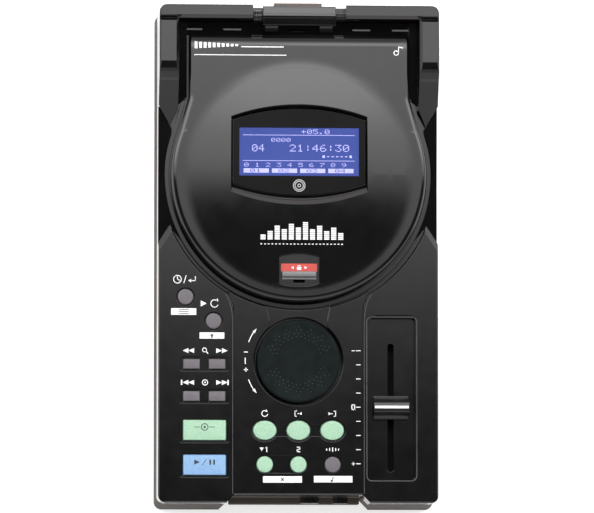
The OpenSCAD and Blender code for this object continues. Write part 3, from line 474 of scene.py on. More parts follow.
def lift(shape, thickness):
    """Gives flat faces a thickness upwards, in millimetres."""
    grown = bmesh.ops.extrude_face_region(shape, geom=shape.faces[:], use_keep_orig=True)
    bmesh.ops.translate(shape, verts=new_verts(grown), vec=(0, 0, thickness * MM))


def turned(shape, profile, steps, centre=(0, 0)):
    """Spins a profile of (radius, height) pairs in millimetres about an upright axis."""
    points = [shape.verts.new(((centre[0] + r) * MM, centre[1] * MM, z * MM)) for r, z in profile]
    edges = [shape.edges.new(pair) for pair in zip(points, points[1:])]
    bmesh.ops.spin(shape, geom=points + edges, cent=(centre[0] * MM, centre[1] * MM, 0), axis=(0, 0, 1),
                   angle=math.tau, steps=steps, use_merge=True)
    bmesh.ops.remove_doubles(shape, verts=shape.verts[:], dist=1e-6)


def rounded(radius, top, corner, angles):
    """A profile's quarter round from its top to its side."""
    return [(radius - corner + corner * math.sin(math.radians(angle)),
             top - corner + corner * math.cos(math.radians(angle))) for angle in angles]


def dome_height(x, y):
    """Height of the lid's dome at a place, in millimetres."""
    reach = (x - LID_X) ** 2 + (y - LID_Y) ** 2
    return DOME_TOP - reach / (2 * DOME_RADIUS)


def lid_reach(angle):
    """Distance from the middle of the lid to its keyhole outline, in millimetres."""
    across, along = abs(math.cos(angle)), math.sin(angle)
    if LID_RADIUS * along < FLARE_END - LID_Y:
        return LID_RADIUS
    run, rise = NECK_HALF - FLARE_HALF, FLARE_START - FLARE_END
    flare = (FLARE_HALF * rise - (FLARE_END - LID_Y) * run) / (across * rise - along * run)
    reach = flare if LID_Y + flare * along < FLARE_START else NECK_HALF / max(across, 1e-6)
    return min(reach, (LID_BACK - LID_Y) / along)


def rolled(distance, width, depth):
    """Drop of a rolled edge at a distance from the outline."""
    if distance >= width:
        return 0.0
    radius = (width * width + depth * depth) / (2 * depth)
    return radius - math.sqrt(radius * radius - (width - max(distance, 0)) ** 2)


def lid_height(x, y):
    """Height of the skin of the lid round the dome, in millimetres."""
    radius = math.hypot(x, y - LID_Y)
    run = min(max(radius - SKIN_START, 0.0), SKIN_FLAT - SKIN_START)
    fall = SKIN_START / DOME_RADIUS * (run - run * run / (2 * (SKIN_FLAT - SKIN_START)))
    height = dome_height(0, LID_Y + SKIN_START) - fall
    if y < FLARE_END:
        side = LID_RADIUS - radius
    elif y < FLARE_START:
        lean = math.atan2(FLARE_HALF - NECK_HALF, FLARE_START - FLARE_END)
        side = (FLARE_HALF - (y - FLARE_END) * math.tan(lean) - abs(x)) * math.cos(lean)
    else:
        side = NECK_HALF - abs(x)
    return max(height - rolled(side, *SIDE_ROLL) - rolled(LID_BACK - y, *REAR_ROLL), RIM_MM + RIM_CLEARANCE)


class Ink:
    """Flat figures of printing ink, gathered into one thin solid. Millimetres."""

    def __init__(self):
        self.shape = bmesh.new()

    def bar(self, x, y, width, height, turn=0.0):
        matrix = at_mm(x, y) @ Matrix.Rotation(math.radians(turn), 4, "Z")
        bmesh.ops.create_grid(self.shape, x_segments=1, y_segments=1, size=0.5,
                              matrix=matrix @ Matrix.Diagonal((width * MM, height * MM, 1, 1)))
        return self

    def dot(self, x, y, radius):
        bmesh.ops.create_circle(self.shape, cap_ends=True, segments=20, radius=radius * MM, matrix=at_mm(x, y))
        return self

    def wedge(self, x, y, length, height, turn=0.0):
        """A triangle that points along turn, centred on the middle of its length."""
        matrix = at_mm(x, y) @ Matrix.Rotation(math.radians(turn), 4, "Z")
        matrix = matrix @ Matrix.Diagonal((length / 1.5 * MM, height / math.sqrt(3) * MM, 1, 1))
        matrix = matrix @ Matrix.Translation((-0.25, 0, 0)) @ Matrix.Rotation(-math.pi / 2, 4, "Z")
        bmesh.ops.create_circle(self.shape, cap_ends=True, segments=3, radius=1, matrix=matrix)
        return self

    def ring(self, x, y, radius, width, start=0.0, sweep=360.0):
        angle = math.radians(start)
        ends = []
        for r in (radius - width / 2, radius + width / 2):
            ends.append(self.shape.verts.new(((x + r * math.cos(angle)) * MM, (y + r * math.sin(angle)) * MM, 0)))
        edge = self.shape.edges.new(ends)
        steps = max(6, int(abs(sweep) / 9))
        bmesh.ops.spin(self.shape, geom=ends + [edge], cent=(x * MM, y * MM, 0), axis=(0, 0, 1),
                       angle=math.radians(sweep), steps=steps, use_merge=abs(sweep) >= 360)
        return self

    def line(self, points, width):
        for (x0, y0), (x1, y1) in zip(points, points[1:]):
            length = math.hypot(x1 - x0, y1 - y0) + width * 0.8
            self.bar((x0 + x1) / 2, (y0 + y1) / 2, length, width, math.degrees(math.atan2(y1 - y0, x1 - x0)))
        return self

    def cut_grid(self, across, along):
        """Cuts the figures up, so that they can follow a rolled surface. Each span is a start, an end and a step."""
        for normal, (low, high, step) in (((1, 0, 0), across), ((0, 1, 0), along)):
            while low < high:
                geometry = self.shape.verts[:] + self.shape.edges[:] + self.shape.faces[:]
                bmesh.ops.bisect_plane(self.shape, geom=geometry, plane_co=Vector(normal) * low * MM, plane_no=normal)
                low += step
        return self

    def piece(self, name, body, finish_name, ground):
        """Lays the figures on a height in millimetres, or on a function of the place."""
        bmesh.ops.triangulate(self.shape, faces=[face for face in self.shape.faces if len(face.verts) > 4])
        lift(self.shape, INK_THICKNESS)
        for vert in self.shape.verts:
            height = ground(vert.co.x / MM, vert.co.y / MM) if callable(ground) else ground
            vert.co.z += (height - INK_SUNK) * MM
        return new_piece(self.shape, name, body, finish_name, soft_angle=10)


DIGITS = {
    "0": "01110100011001110101110011000101110", "1": "00100011000010000100001000010001110",
    "2": "01110100010000100010001000100011111", "3": "11111000100010000010000011000101110",
    "4": "00010001100101010010111110001000010", "5": "11111100001111000001000011000101110",
    "6": "00110010001000011110100011000101110", "7": "11111000010001000100010000100001000",
    "8": "01110100011000101110100011000101110", "9": "01110100011000101111000010001001100",
    ":": "00000001000010000000001000010000000",
    "+": "00000001000010011111001000010000000", ".": "00000000000000000000000000110001100",
}


def dot_digits(ink, text, x, y, cell, spread=1.0):
    """Numerals of five by seven cells, from their top left corner."""
    for place, sign in enumerate(text):
        for index, on in enumerate(DIGITS.get(sign, "0" * 35)):
            if on == "1":
                column, row = index % 5, index // 5
                ink.bar(x + (place * 6 + column) * cell * spread, y - row * cell, cell * 0.86 * spread, cell * 0.86)


def stroke_digit(ink, sign, x, y, height, width):
    """A printed numeral in strokes, centred."""
    half_w, half_h = height * 0.3, height / 2
    strokes = {
        "0": [(-1, -1), (1, -1), (1, 1), (-1, 1), (-1, -1)],
        "1": [(-0.6, 0.6), (0.1, 1), (0.1, -1)],
        "2": [(-1, 1), (1, 1), (1, 0), (-1, 0), (-1, -1), (1, -1)],
    }[sign]
    ink.line([(x + a * half_w, y + b * half_h) for a, b in strokes], width)


# ---------------------------------------------------------------- settings

class MarkSettings(bpy.types.PropertyGroup):
    """Printing on the deck, the lid and the keys."""

    stroke: FloatProperty(name="Stroke width", description="Width of a printed line",
                          default=0.0004, min=0.0002, max=0.0006, unit="LENGTH")


class WheelSettings(bpy.types.PropertyGroup):
    """Grip of the wheel."""

    clusters: IntProperty(name="Clusters", description="Clusters of grip dots on each half of the wheel",
                          default=7, min=4, max=9)
    dot: FloatProperty(name="Dot radius", description="Radius of one grip dot",
                       default=0.00036, min=0.0002, max=0.0006, unit="LENGTH")


class KeySettings(bpy.types.PropertyGroup):
    """Shape of the key caps."""

    crown: FloatProperty(name="Crown", description="Rise of a round cap's middle over its edge",
                         default=0.00012, min=0.0, max=0.0003, unit="LENGTH")


class StageSettings(bpy.types.PropertyGroup):
    """Floor, light and camera."""

    distance: FloatProperty(name="Camera distance", description="From the deck to the camera",
                            default=3.0, unit="LENGTH")
    lean_left: FloatProperty(name="Lean to the left", description="Angle of the camera off the vertical, to the left",
                             default=math.radians(3.6), subtype="ANGLE")
    lean_front: FloatProperty(name="Lean to the front",
                              description="Angle of the camera off the vertical, to the front",
                              default=math.radians(4.7), subtype="ANGLE")
    field: FloatProperty(name="Field width", description="Width of the view at the height of the deck",
                         default=0.3154, unit="LENGTH")
    aim: FloatVectorProperty(name="Aim", description="Point that the camera looks at",
                             default=(-0.0008, -0.001, DECK_Z), subtype="XYZ", unit="LENGTH")


# ---------------------------------------------------------------- operators

class DISCPLAYER_OT_finishes(bpy.types.Operator):
    """Give every part of the frame its finish"""

    bl_idname = "discplayer.finishes"
    bl_label = "Finishes of the frame"

    def execute(self, context):
        for node, name in NODE_FINISH.items():
            mesh = NODES[node].data
            mesh.materials.clear()
            mesh.materials.append(finish(name))
        return {"FINISHED"}


def sloped_plate(name, outline, low, rise):
    """A plate of the case with upright sides whose top rises to the rear, from the height low at its front."""
    plate = bmesh.new()
    plate.faces.new([plate.verts.new((x * MM, y * MM, LOW_DECK_BASE * MM)) for x, y in outline])
    lift(plate, low - LOW_DECK_BASE)
    front = min(y for _, y in outline)
    for vert in plate.verts:
        if vert.co.z > LOW_DECK_BASE * MM + SLACK:
            vert.co.z += (vert.co.y - front * MM) * rise
    return new_piece(plate, name, "case", "deck_black", soft_angle=20)


class DISCPLAYER_OT_low_decks(bpy.types.Operator):
    """Lay the sloping floors beside and behind the lid"""

    bl_idname = "discplayer.low_decks"
    bl_label = "Low decks"

    def execute(self, context):
        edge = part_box("top_case")[1].x / MM - LOW_DECK_GAP
        start, end = WAIST_ARC
        arc = [start + (end - start) * step / WAIST_STEPS for step in range(WAIST_STEPS + 1)]
        inner = [from_centre(0, LID_Y, WAIST_RADIUS, degrees) for degrees in arc]
        waist = inner + [(67.3, 67.6), (edge, 79.0), (edge, 6.6), (68.5, 15.75)]
        channel = [(59.3, 84.5), (63.85, 80.5), (63.85, 124.9), (59.3, 124.9)]
        for side, sign in (("left", -1), ("right", 1)):
            mirrored = [(sign * x, y) for x, y in waist]
            sloped_plate("low_deck_" + side, mirrored, 42.06, 0.047)
            mirrored = [(sign * x, y) for x, y in channel]
            sloped_plate("side_channel_" + side, mirrored, 44.5, 0.05)
        rear = [(-59.2, 117.6), (59.2, 117.6), (59.2, 124.9), (-59.2, 124.9)]
        sloped_plate("rear_channel", rear, 42.05, 0.11)
        return {"FINISHED"}


def bead(shape, points, width, height, closed=False):
    """Sweeps a low half-round bead along a path on the deck, in millimetres."""
    rows = []
    for index, (x, y) in enumerate(points):
        back = points[index - 1] if index or closed else points[0]
        ahead = points[(index + 1) % len(points)] if index + 1 < len(points) or closed else points[-1]
        run = Vector((ahead[0] - back[0], ahead[1] - back[1])).normalized()
        row = []
        for share, rise in ((-1, -0.05), (-0.7, 0.7 * height), (0, height), (0.7, 0.7 * height), (1, -0.05)):
            aside = share * width / 2
            row.append(shape.verts.new(((x - run.y * aside) * MM, (y + run.x * aside) * MM, (DECK_MM + rise) * MM)))
        rows.append(row)
    pairs = list(zip(rows, rows[1:])) + ([(rows[-1], rows[0])] if closed else [])
    for row, following in pairs:
        for index in range(5):
            after = (index + 1) % 5
            shape.faces.new((row[index], row[after], following[after], following[index]))
    if not closed:
        shape.faces.new(rows[0])
        shape.faces.new(rows[-1])


class DISCPLAYER_OT_beads(bpy.types.Operator):
    """Raise the fine beads along the seams of the deck and round the fader's recess, in a paler grey that paints their
    highlight
    """

    bl_idname = "discplayer.beads"
    bl_label = "Beads of the deck"

    def execute(self, context):
        # The beads are raised to catch the light, and their paler grey paints the highlight on the seams and round the
        # recess.
        seams = bmesh.new()
        for side in (-1, 1):
            bead(seams, [(side * x, y) for x, y in SEAM_PATH], 0.5, 0.16)
        new_piece(seams, "seam_beads", "case", "bead_grey", soft_angle=60)
        recess = bmesh.new()
        path = []
        for x, y, start in RECESS_CORNERS:
            path += [from_centre(x, y, RECESS_CORNER_RADIUS, start + step * 22.5) for step in range(5)]
        bead(recess, path, 0.6, 0.2, closed=True)
        new_piece(recess, "fader_recess_bead", "case", "bead_grey", soft_angle=60)
        plinth = bmesh.new()
        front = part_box("centre_panel")[0].y / MM
        block(plinth, (0, front - 0.8, 7.1), PLINTH_SIZE)
        bevel(plinth, plinth.edges[:], 0.6, 3)
        new_piece(plinth, "front_plinth", "case", "plinth_brown")
        return {"FINISHED"}


class DISCPLAYER_OT_hinge(bpy.types.Operator):
    """Cap the knuckle of the hinge and set the middle rib of the channel under it"""

    bl_idname = "discplayer.hinge"
    bl_label = "Hinge cap and rib"

    def execute(self, context):
        cap = bmesh.new()
        block(cap, *HINGE_CAP)
        bevel(cap, [edge for edge in cap.edges if edge.verts[0].co.z + edge.verts[1].co.z > 2 * 58 * MM], 0.45, 3)
        new_piece(cap, "hinge_cap", "lid", "lid_black")
        rib = bmesh.new()
        block(rib, *CHANNEL_RIB)
        bevel(rib, rib.edges[:], 0.25, 2)
        new_piece(rib, "channel_rib", "case", "deck_black")
        return {"FINISHED"}


class DISCPLAYER_OT_lid_skin(bpy.types.Operator):
    """Mould the skin of the lid: the rim, the neck and the soft foot of the dome"""

    bl_idname = "discplayer.lid_skin"
    bl_label = "Skin of the lid"

    def execute(self, context):
        skin = bmesh.new()
        rings = []
        for step in range(360):
            angle = math.radians(step)
            reach = lid_reach(angle) - 0.1
            start = SKIN_START if abs(step - 270) > 12 else SKIN_START_AT_LOCK
            zone = max(62.5, reach - (9 if 20 < step < 160 else 3))
            radii = [start + (zone - start) * share / 10 for share in range(11)]
            radii += [zone + (reach - zone) * share / 14 for share in range(1, 15)]
            ring = []
            for radius in radii:
                x, y = from_centre(LID_X, LID_Y, radius, step)
                ring.append(skin.verts.new((x * MM, y * MM, lid_height(x, y) * MM)))
            foot = 50.4 if y > LID_BACK - 4 else 52.3
            ring.append(skin.verts.new((x * MM, y * MM, foot * MM)))
            ring.append(skin.verts.new((ring[0].co.x, ring[0].co.y, foot * MM)))
            rings.append(ring)
        for ring, following in zip(rings, rings[1:] + rings[:1]):
            for index in range(len(ring)):
                after = (index + 1) % len(ring)
                skin.faces.new((ring[index], ring[after], following[after], following[index]))
        new_piece(skin, "lid_skin", "lid", "skin_black", soft_angle=50)
        return {"FINISHED"}


class DISCPLAYER_OT_deck_marks(bpy.types.Operator):
    """Print the scales, arrows and plain pictograms on the deck"""

    bl_idname = "discplayer.deck_marks"
    bl_label = "Marks on the deck"

    def execute(self, context):
        settings = context.scene.disc_player_marks
        stroke = settings.stroke / MM
        white = Ink()
        self.tempo_scale(white, stroke)
        self.bend_arrows(white, stroke)
        self.search_and_skip(white, stroke)
        self.left_icons(white, stroke)
        self.centre_icons(white, stroke)
        white.piece("deck_marks_white", "case", "ink_white", DECK_MM)
        plates = Ink()
        for x0, x1, y0, y1 in self.plates():
            plates.bar((x0 + x1) / 2, (y0 + y1) / 2, x1 - x0, y1 - y0)
        plates.piece("deck_label_plates", "case", "ink_white", DECK_MM)
        self.plate_icons()
        return {"FINISHED"}

    def plates(self):
        return (
            (-67.6, -54.3, -32.3, -28.8), (-52.5, -39.4, -44.9, -41.6),
            (-18.8, 1.8, -121.1, -117.7), (8.2, 28.6, -120.9, -117.5),
        )

    def tempo_scale(self, ink, stroke):
        middle = place_mm("fader_cap")[1]
        for step in range(-4, 5):
            ink.bar(31.8, middle + 7.5 * step, 2.4, stroke)
        stroke_digit(ink, "0", 29.1, middle, 2.5, stroke * 1.3)
        ink.bar(29.1, middle + 30, 1.7, stroke)
        ink.bar(29.1, middle - 30, 1.7, stroke).bar(29.1, middle - 30, stroke, 1.7)

    def bend_arrows(self, ink, stroke):
        reach = 28.3
        for side in (-1, 1):
            start, end = 180 + side * 20.5, 180 + side * 33.0
            ink.ring(WHEEL_X, WHEEL_Y, reach, stroke * 1.15, start, end - start)
            tip = from_centre(WHEEL_X, WHEEL_Y, reach - 0.2, 180 + side * 35.2)
            ink.wedge(*tip, 2.6, 1.5, 180 + side * 35.2 + side * 95)
        for side, turns in ((-1, (0, 90)), (1, (0,))):
            for turn in turns:
                ink.bar(*from_centre(WHEEL_X, WHEEL_Y, reach, 180 - side * 9.5), 2.1, stroke * 1.2, turn)
        ink.ring(WHEEL_X, WHEEL_Y, reach, stroke * 1.2, 176.6, 6.8)

    def search_and_skip(self, ink, stroke):
        for left, right, y in ((-58.4, -40.65, -51.25), (-58.4, -40.65, -68.15)):
            for shift in (-1.5, 1.5):
                ink.wedge(left + shift, y, 3.0, 2.6, 180)
                ink.wedge(right + shift, y, 3.0, 2.6, 0)
        for x in (-62.0, -37.4):
            ink.bar(x, -68.15, 0.75, 2.7)
        ink.ring(-49.9, -50.9, 1.05, stroke).line([(-49.1, -51.7), (-48.1, -52.7)], stroke * 1.4)
        ink.dot(-49.6, -68.15, 0.45).ring(-49.6, -68.15, 1.4, stroke)

    def left_icons(self, ink, stroke):
        ink.ring(-64.3, -13.4, 2.05, stroke).line([(-64.3, -12.0), (-64.3, -13.4), (-63.1, -13.9)], stroke)
        ink.line([(-60.9, -15.3), (-59.7, -11.5)], stroke)
        ink.line([(-54.8, -11.9), (-54.8, -14.1), (-57.4, -14.1)], stroke).wedge(-57.8, -14.1, 1.6, 1.9, 180)
        ink.wedge(-50.4, -26.2, 3.0, 3.2, 0)
        ink.ring(-44.6, -26.2, 1.95, stroke, 50, 290).wedge(-43.1, -24.6, 1.5, 1.7, -45)

    def centre_icons(self, ink, stroke):
        y = -84.5
        ink.ring(-17.9, y, 1.55, stroke * 1.1, 60, 290).wedge(-16.9, y + 1.2, 1.3, 1.5, -40)
        ink.line([(-1.1, y + 1.4), (-1.9, y + 1.4), (-1.9, y - 1.4), (-1.1, y - 1.4)], stroke)
        ink.bar(0.1, y, 1.4, stroke).wedge(1.0, y, 1.3, 1.6, 180)
        ink.line([(18.9, y + 1.4), (19.7, y + 1.4), (19.7, y - 1.4), (18.9, y - 1.4)], stroke)
        ink.bar(17.5, y, 1.4, stroke).wedge(16.6, y, 1.3, 1.6, 0)
        y = -103.5
        ink.wedge(-19.5, y, 1.9, 2.1, -90)
        stroke_digit(ink, "1", -16.9, y, 2.4, stroke * 1.2)
        stroke_digit(ink, "2", 0, y, 2.4, stroke * 1.2)
        for x, height in ((14.9, 1.0), (16.5, 1.6), (18.1, 2.3), (19.7, 1.6), (21.3, 1.0)):
            ink.bar(x, y, stroke * 1.2, height)

    def plate_icons(self):
        dark = Ink()
        for y in (-29.6, -30.6, -31.6):
            dark.bar(-61, y, 5.4, 0.42)
        dark.wedge(-46, -42.7, 1.3, 2.1, 90).bar(-46, -43.9, 0.9, 1.3)
        for turn in (45, -45):
            dark.bar(-8.5, -119.4, 2.6, 0.5, turn)
        dark.dot(17.6, -120.1, 0.62).bar(18.1, -119.3, 0.36, 2.1).bar(18.7, -118.5, 1.1, 0.42, -20)
        dark.piece("deck_label_icons", "case", "ink_dark", DECK_MM + 0.03)


class DISCPLAYER_OT_lid_marks(bpy.types.Operator):
    """Print the plain motifs on the lid and round the display"""

    bl_idname = "discplayer.lid_marks"
    bl_label = "Marks on the lid"

    def execute(self, context):
        stroke = context.scene.disc_player_marks.stroke / MM
        level = Ink()
        heights = (3.5, 5.5, 8.0, 6.0, 9.5, 7.5, 10.0, 6.5, 8.5, 5.0, 7.0, 4.0)
        for index, height in enumerate(heights):
            x = -19.3 + index * 3.75
            for row in range(int(height)):
                level.bar(x, 7.7 + row * 0.95, 2.7, 0.7)
        for index in range(23):
            level.bar(-20.2 + index * 1.95, 5.0, 0.9, 0.5)
        level.piece("lid_level_bars", "lid", "ink_white", dome_height)
        line = Ink()
        for index in range(10):
            line.bar(-54.9 + index * 2.4, 110.9, 1.5, 3.6 - 0.28 * index)
        line.bar(-31.6 + 12, 110.1, 22.6, 0.55).bar(-31.4, 105.7, 49.0, 0.45)
        line.ring(51.6, 107.3, 1.15, stroke * 1.2).bar(52.9, 109.0, stroke * 1.2, 3.2)
        line.bar(54.0, 110.3, 2.4, stroke * 1.6, -14)
        line.cut_grid((-60, 60, 3), (100, LID_BACK, 0.6))
        line.piece("lid_rear_marks", "lid", "ink_white", lid_height)
        disc = Ink()
        for radius in (3.05, 2.2, 0.75):
            disc.ring(0.0, 36.3, radius, 0.5)
        disc.piece("display_disc_mark", "lid", "ink_grey", top_mm("display_window"))
        return {"FINISHED"}


class DISCPLAYER_OT_display(bpy.types.Operator):
    """Write plain numerals and rules on the display"""

    bl_idname = "discplayer.display"
    bl_label = "Numerals of the display"

    def execute(self, context):
        low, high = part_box("display_panel")
        left, top = low.x / MM + 1.6, high.y / MM - 1.0
        marks = Ink()
        dot_digits(marks, "+05.0", left + 31.5, top, 0.36, 1.45)
        marks.bar(left + 30, top - 2.95, 59.5, 0.28)
        dot_digits(marks, "0000", left + 15.5, top - 4.6, 0.3, 1.5)
        dot_digits(marks, "04", left + 5.4, top - 8.2, 0.54, 1.1)
        dot_digits(marks, "21:46:30", left + 25.4, top - 8.2, 0.54, 1.25)
        for index in range(7):
            marks.bar(left + 43.2 + index * 2.4, top - 14.3, 1.3, 0.45 + 0.9 * (index in (0, 6)))
        marks.bar(left + 30, top - 16.6, 59.5, 0.28)
        dot_digits(marks, "0 1 2 3 4 5 6 7 8 9", left + 1.2, top - 17.9, 0.3, 1.6)
        for index in range(4):
            marks.bar(left + 7.4 + index * 15, top - 21.9, 13.4, 2.3)
        marks.piece("display_numerals", "lid", "display_mark", high.z / MM)
        blocks = Ink()
        for index, text in enumerate(("01", "02", "03", "04")):
            dot_digits(blocks, text, left + 4.4 + index * 15, top - 21.1, 0.26, 2.0)
        blocks.piece("display_block_numerals", "lid", "display_blue", high.z / MM + 0.03)
        return {"FINISHED"}


class DISCPLAYER_OT_wheel(bpy.types.Operator):
    """Turn the rubber wheel and raise its grip dots"""

    bl_idname = "discplayer.wheel"
    bl_label = "Wheel"

    def execute(self, context):
        settings = context.scene.disc_player_wheel
        low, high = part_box("jog_wheel")
        radius = (high.x - low.x) / 2 / MM
        bottom, top = low.z / MM, high.z / MM - 0.15
        wheel = bmesh.new()
        rim = rounded(radius, top, 1.3, (0, 15, 30, 50, 70, 90))
        profile = [(0, top - 0.25), (14, top - 0.2), (radius - 3.2, top - 0.16), (radius - 2.2, top - 0.04)]
        profile += rim + [(radius, bottom + 0.5), (radius - 0.5, bottom), (0, bottom)]
        turned(wheel, profile, 96, (WHEEL_X, WHEEL_Y))
        new_piece(wheel, "wheel_rubber_top", "wheel", "wheel_rubber", ["jog_wheel"])
        dots = bmesh.new()
        self.grip_dots(dots, settings, top - 0.2)
        new_piece(dots, "wheel_grip_dots", "wheel", "dot_rubber")
        return {"FINISHED"}

    def grip_dots(self, dots, settings, top):
        """Clusters of little domes on the front and rear of the wheel's face."""
        pattern = ((0, -1), (0, 1), (1, 0), (2, -1), (2, 1), (3, 0), (1, 2))
        for sector in range(settings.clusters):
            share = (sector + 0.5) / settings.clusters
            for half in (0, 180):
                middle = half + 14 + 152 * share
                for out, across in pattern:
                    reach = 12.4 + 1.75 * out + 0.5 * (sector % 2)
                    turn = middle + across * 5.4 * (12.4 / reach)
                    place = at_mm(*from_centre(WHEEL_X, WHEEL_Y, reach, turn), top)
                    bmesh.ops.create_uvsphere(dots, u_segments=10, v_segments=6, radius=settings.dot,
                                              matrix=place @ Matrix.Diagonal((1, 1, 0.55, 1)))


class DISCPLAYER_OT_fader_cap(bpy.types.Operator):
    """Shape the fader cap with its hollow flanks and white line"""

    bl_idname = "discplayer.fader_cap"
    bl_label = "Fader cap"

    def execute(self, context):
        low, high = box_mm("fader_cap")
        middle = (low.y + high.y) / 2
        half = (high.y - low.y) / 2
        flank = [(half, low.z), (half, low.z + 1.2), (half - 0.25, low.z + 1.75)]
        flank += [(half - 3.35 * math.sin(math.radians(a)) - 0.1, low.z + 1.75 + 5.0 * (1 - math.cos(math.radians(a))))
                  for a in (18, 34, 50, 64, 76)]
        flank += [(2.95, high.z - 0.95), (2.55, high.z - 0.35), (2.2, high.z - 0.16)]
        outline = [(middle + y, z) for y, z in flank] + [(middle - y, z) for y, z in reversed(flank)]
        cap = bmesh.new()
        corners = [cap.verts.new((low.x * MM, y * MM, z * MM)) for y, z in outline]
        cap.faces.new(corners)
        grown = bmesh.ops.extrude_face_region(cap, geom=cap.faces[:], use_keep_orig=True)
        bmesh.ops.translate(cap, verts=new_verts(grown), vec=((high.x - low.x) * MM, 0, 0))
        rim = [edge for edge in cap.edges if abs(edge.verts[0].co.x - edge.verts[1].co.x) < 1e-7]
        bevel(cap, rim, 0.28, 2)
        new_piece(cap, "fader_cap_body", "fader", "fader_black", ["fader_cap"])
        stripe = bmesh.new()
        block(stripe, ((low.x + high.x) / 2, middle, high.z - 0.12), (high.x - low.x - 0.7, 1.35, 0.3))
        bevel(stripe, stripe.edges[:], 0.08, 2)
        for vert in stripe.verts:
            vert.co.z = min(vert.co.z, high.z * MM)
        new_piece(stripe, "fader_cap_line", "fader", "ink_white")
        return {"FINISHED"}


class DISCPLAYER_OT_keys(bpy.types.Operator):
    """Mould the caps of the fourteen keys, each with its foot, and crown the round ones"""

    bl_idname = "discplayer.keys"
    bl_label = "Keys"

    def execute(self, context):
        crown = context.scene.disc_player_keys.crown / MM
        for name in GREY_KEYS + GREEN_KEYS + BLUE_KEYS:
            tint = NODE_FINISH[name]
            low, high = box_mm(name)
            across, deep = high.x - low.x - 1.6, high.y - low.y - 1.6
            centre = ((low.x + high.x) / 2, (low.y + high.y) / 2)
            square = name in ("cue_button", "play_button") or name.startswith(("search", "skip"))
            cap = bmesh.new()
            if square:
                self.square_cap(cap, centre, across, deep, low.z, high.z)
            else:
                self.round_cap(cap, centre, across, deep, low.z, high.z, crown)
            new_piece(cap, name + "_cap", name, tint, [name], 50)
        self.legends()
        return {"FINISHED"}

    def round_cap(self, cap, centre, across, deep, low, high, crown):
        """Spun cap with a crown and a flange, drawn out sideways where it is oval."""
        r = deep / 2
        edge = rounded(r, high - crown, 0.45, (0, 22, 45, 68, 90))
        top = [(r * share, high - crown * share * share) for share in (0, 0.3, 0.55, 0.78)]
        flange = [(r, low + 2.2), (r + 0.8, low + 2.0), (r + 0.8, low + 1.1), (1.6, low + 1.0), (1.6, low), (0, low)]
        turned(cap, top + edge + flange, 64)
        bmesh.ops.scale(cap, verts=cap.verts[:], vec=(across / deep, 1, 1))
        bmesh.ops.translate(cap, verts=cap.verts[:], vec=(centre[0] * MM, centre[1] * MM, 0))

    def square_cap(self, cap, centre, across, deep, low, high):
        """Rounded block with a flange and a stem."""
        middle = (low + 2.0 + high) / 2
        block(cap, (*centre, middle), (across, deep, high - low - 2.0))
        upright = [e for e in cap.edges if abs(e.verts[0].co.z - e.verts[1].co.z) > 1e-5]
        bevel(cap, upright, 0.55, 4)
        rim = [e for e in cap.edges if min(v.co.z for v in e.verts) > (high - 0.01) * MM]
        bevel(cap, rim, 0.4, 4)
        block(cap, (*centre, low + 1.55), (across + 1.6, deep + 1.6, 1.1))
        bmesh.ops.create_cone(cap, cap_ends=True, segments=24, radius1=1.6 * MM, radius2=1.6 * MM,
                              depth=1.2 * MM, matrix=at_mm(*centre, low + 0.6))

    def legends(self):
        x, y = -49.8, -91.8
        cue = Ink().ring(x, y, 1.75, 0.45).dot(x, y, 0.62)
        cue.line([(x - 5.4, y), (x - 2.6, y)], 0.34).line([(x + 2.6, y), (x + 5.4, y)], 0.34)
        cue.piece("cue_button_legend", "cue_button", "ink_dark", top_mm("cue_button"))
        x, y = -50.2, -110.4
        play = Ink().wedge(x - 3.6, y, 2.9, 2.7).line([(x - 0.9, y - 1.5), (x + 1.4, y + 1.5)], 0.34)
        play.bar(x + 3.4, y, 0.9, 2.7).bar(x + 5.4, y, 0.9, 2.7)
        play.piece("play_button_legend", "play_button", "ink_dark", top_mm("play_button"))


class DISCPLAYER_OT_lock(bpy.types.Operator):
    """Round the lock slider's bar and mark the red field under it with a padlock"""

    bl_idname = "discplayer.lock"
    bl_label = "Lock slider and marker"

    def execute(self, context):
        low, high = box_mm("lock_slider")
        bar = bmesh.new()
        block(bar, (0, -10.8, high.z - 1.2), (18, 2.8, 2.4))
        bevel(bar, bar.edges[:], 0.5, 3)
        block(bar, (0, -11.5, high.z - 2.45), (18, 4.2, 0.5))
        block(bar, (0, -11.7, (low.z + high.z) / 2 - 1.3), (4.8, 3.4, high.z - low.z - 2.6))
        new_piece(bar, "lock_slider_bar", "lock", "slider_grey", ["lock_slider"])
        field = node_centre("lock_marker") / MM
        mark = Ink().bar(field.x, field.y - 0.45, 2.3, 1.5).ring(field.x, field.y + 0.35, 0.75, 0.34, 0, 180)
        for side in (-1, 1):
            mark.wedge(field.x + side * 3.6, field.y, 1.5, 1.7, 90 - side * 90)
        mark.piece("lock_marker_signs", "lock", "ink_white", top_mm("lock_marker"))
        return {"FINISHED"}


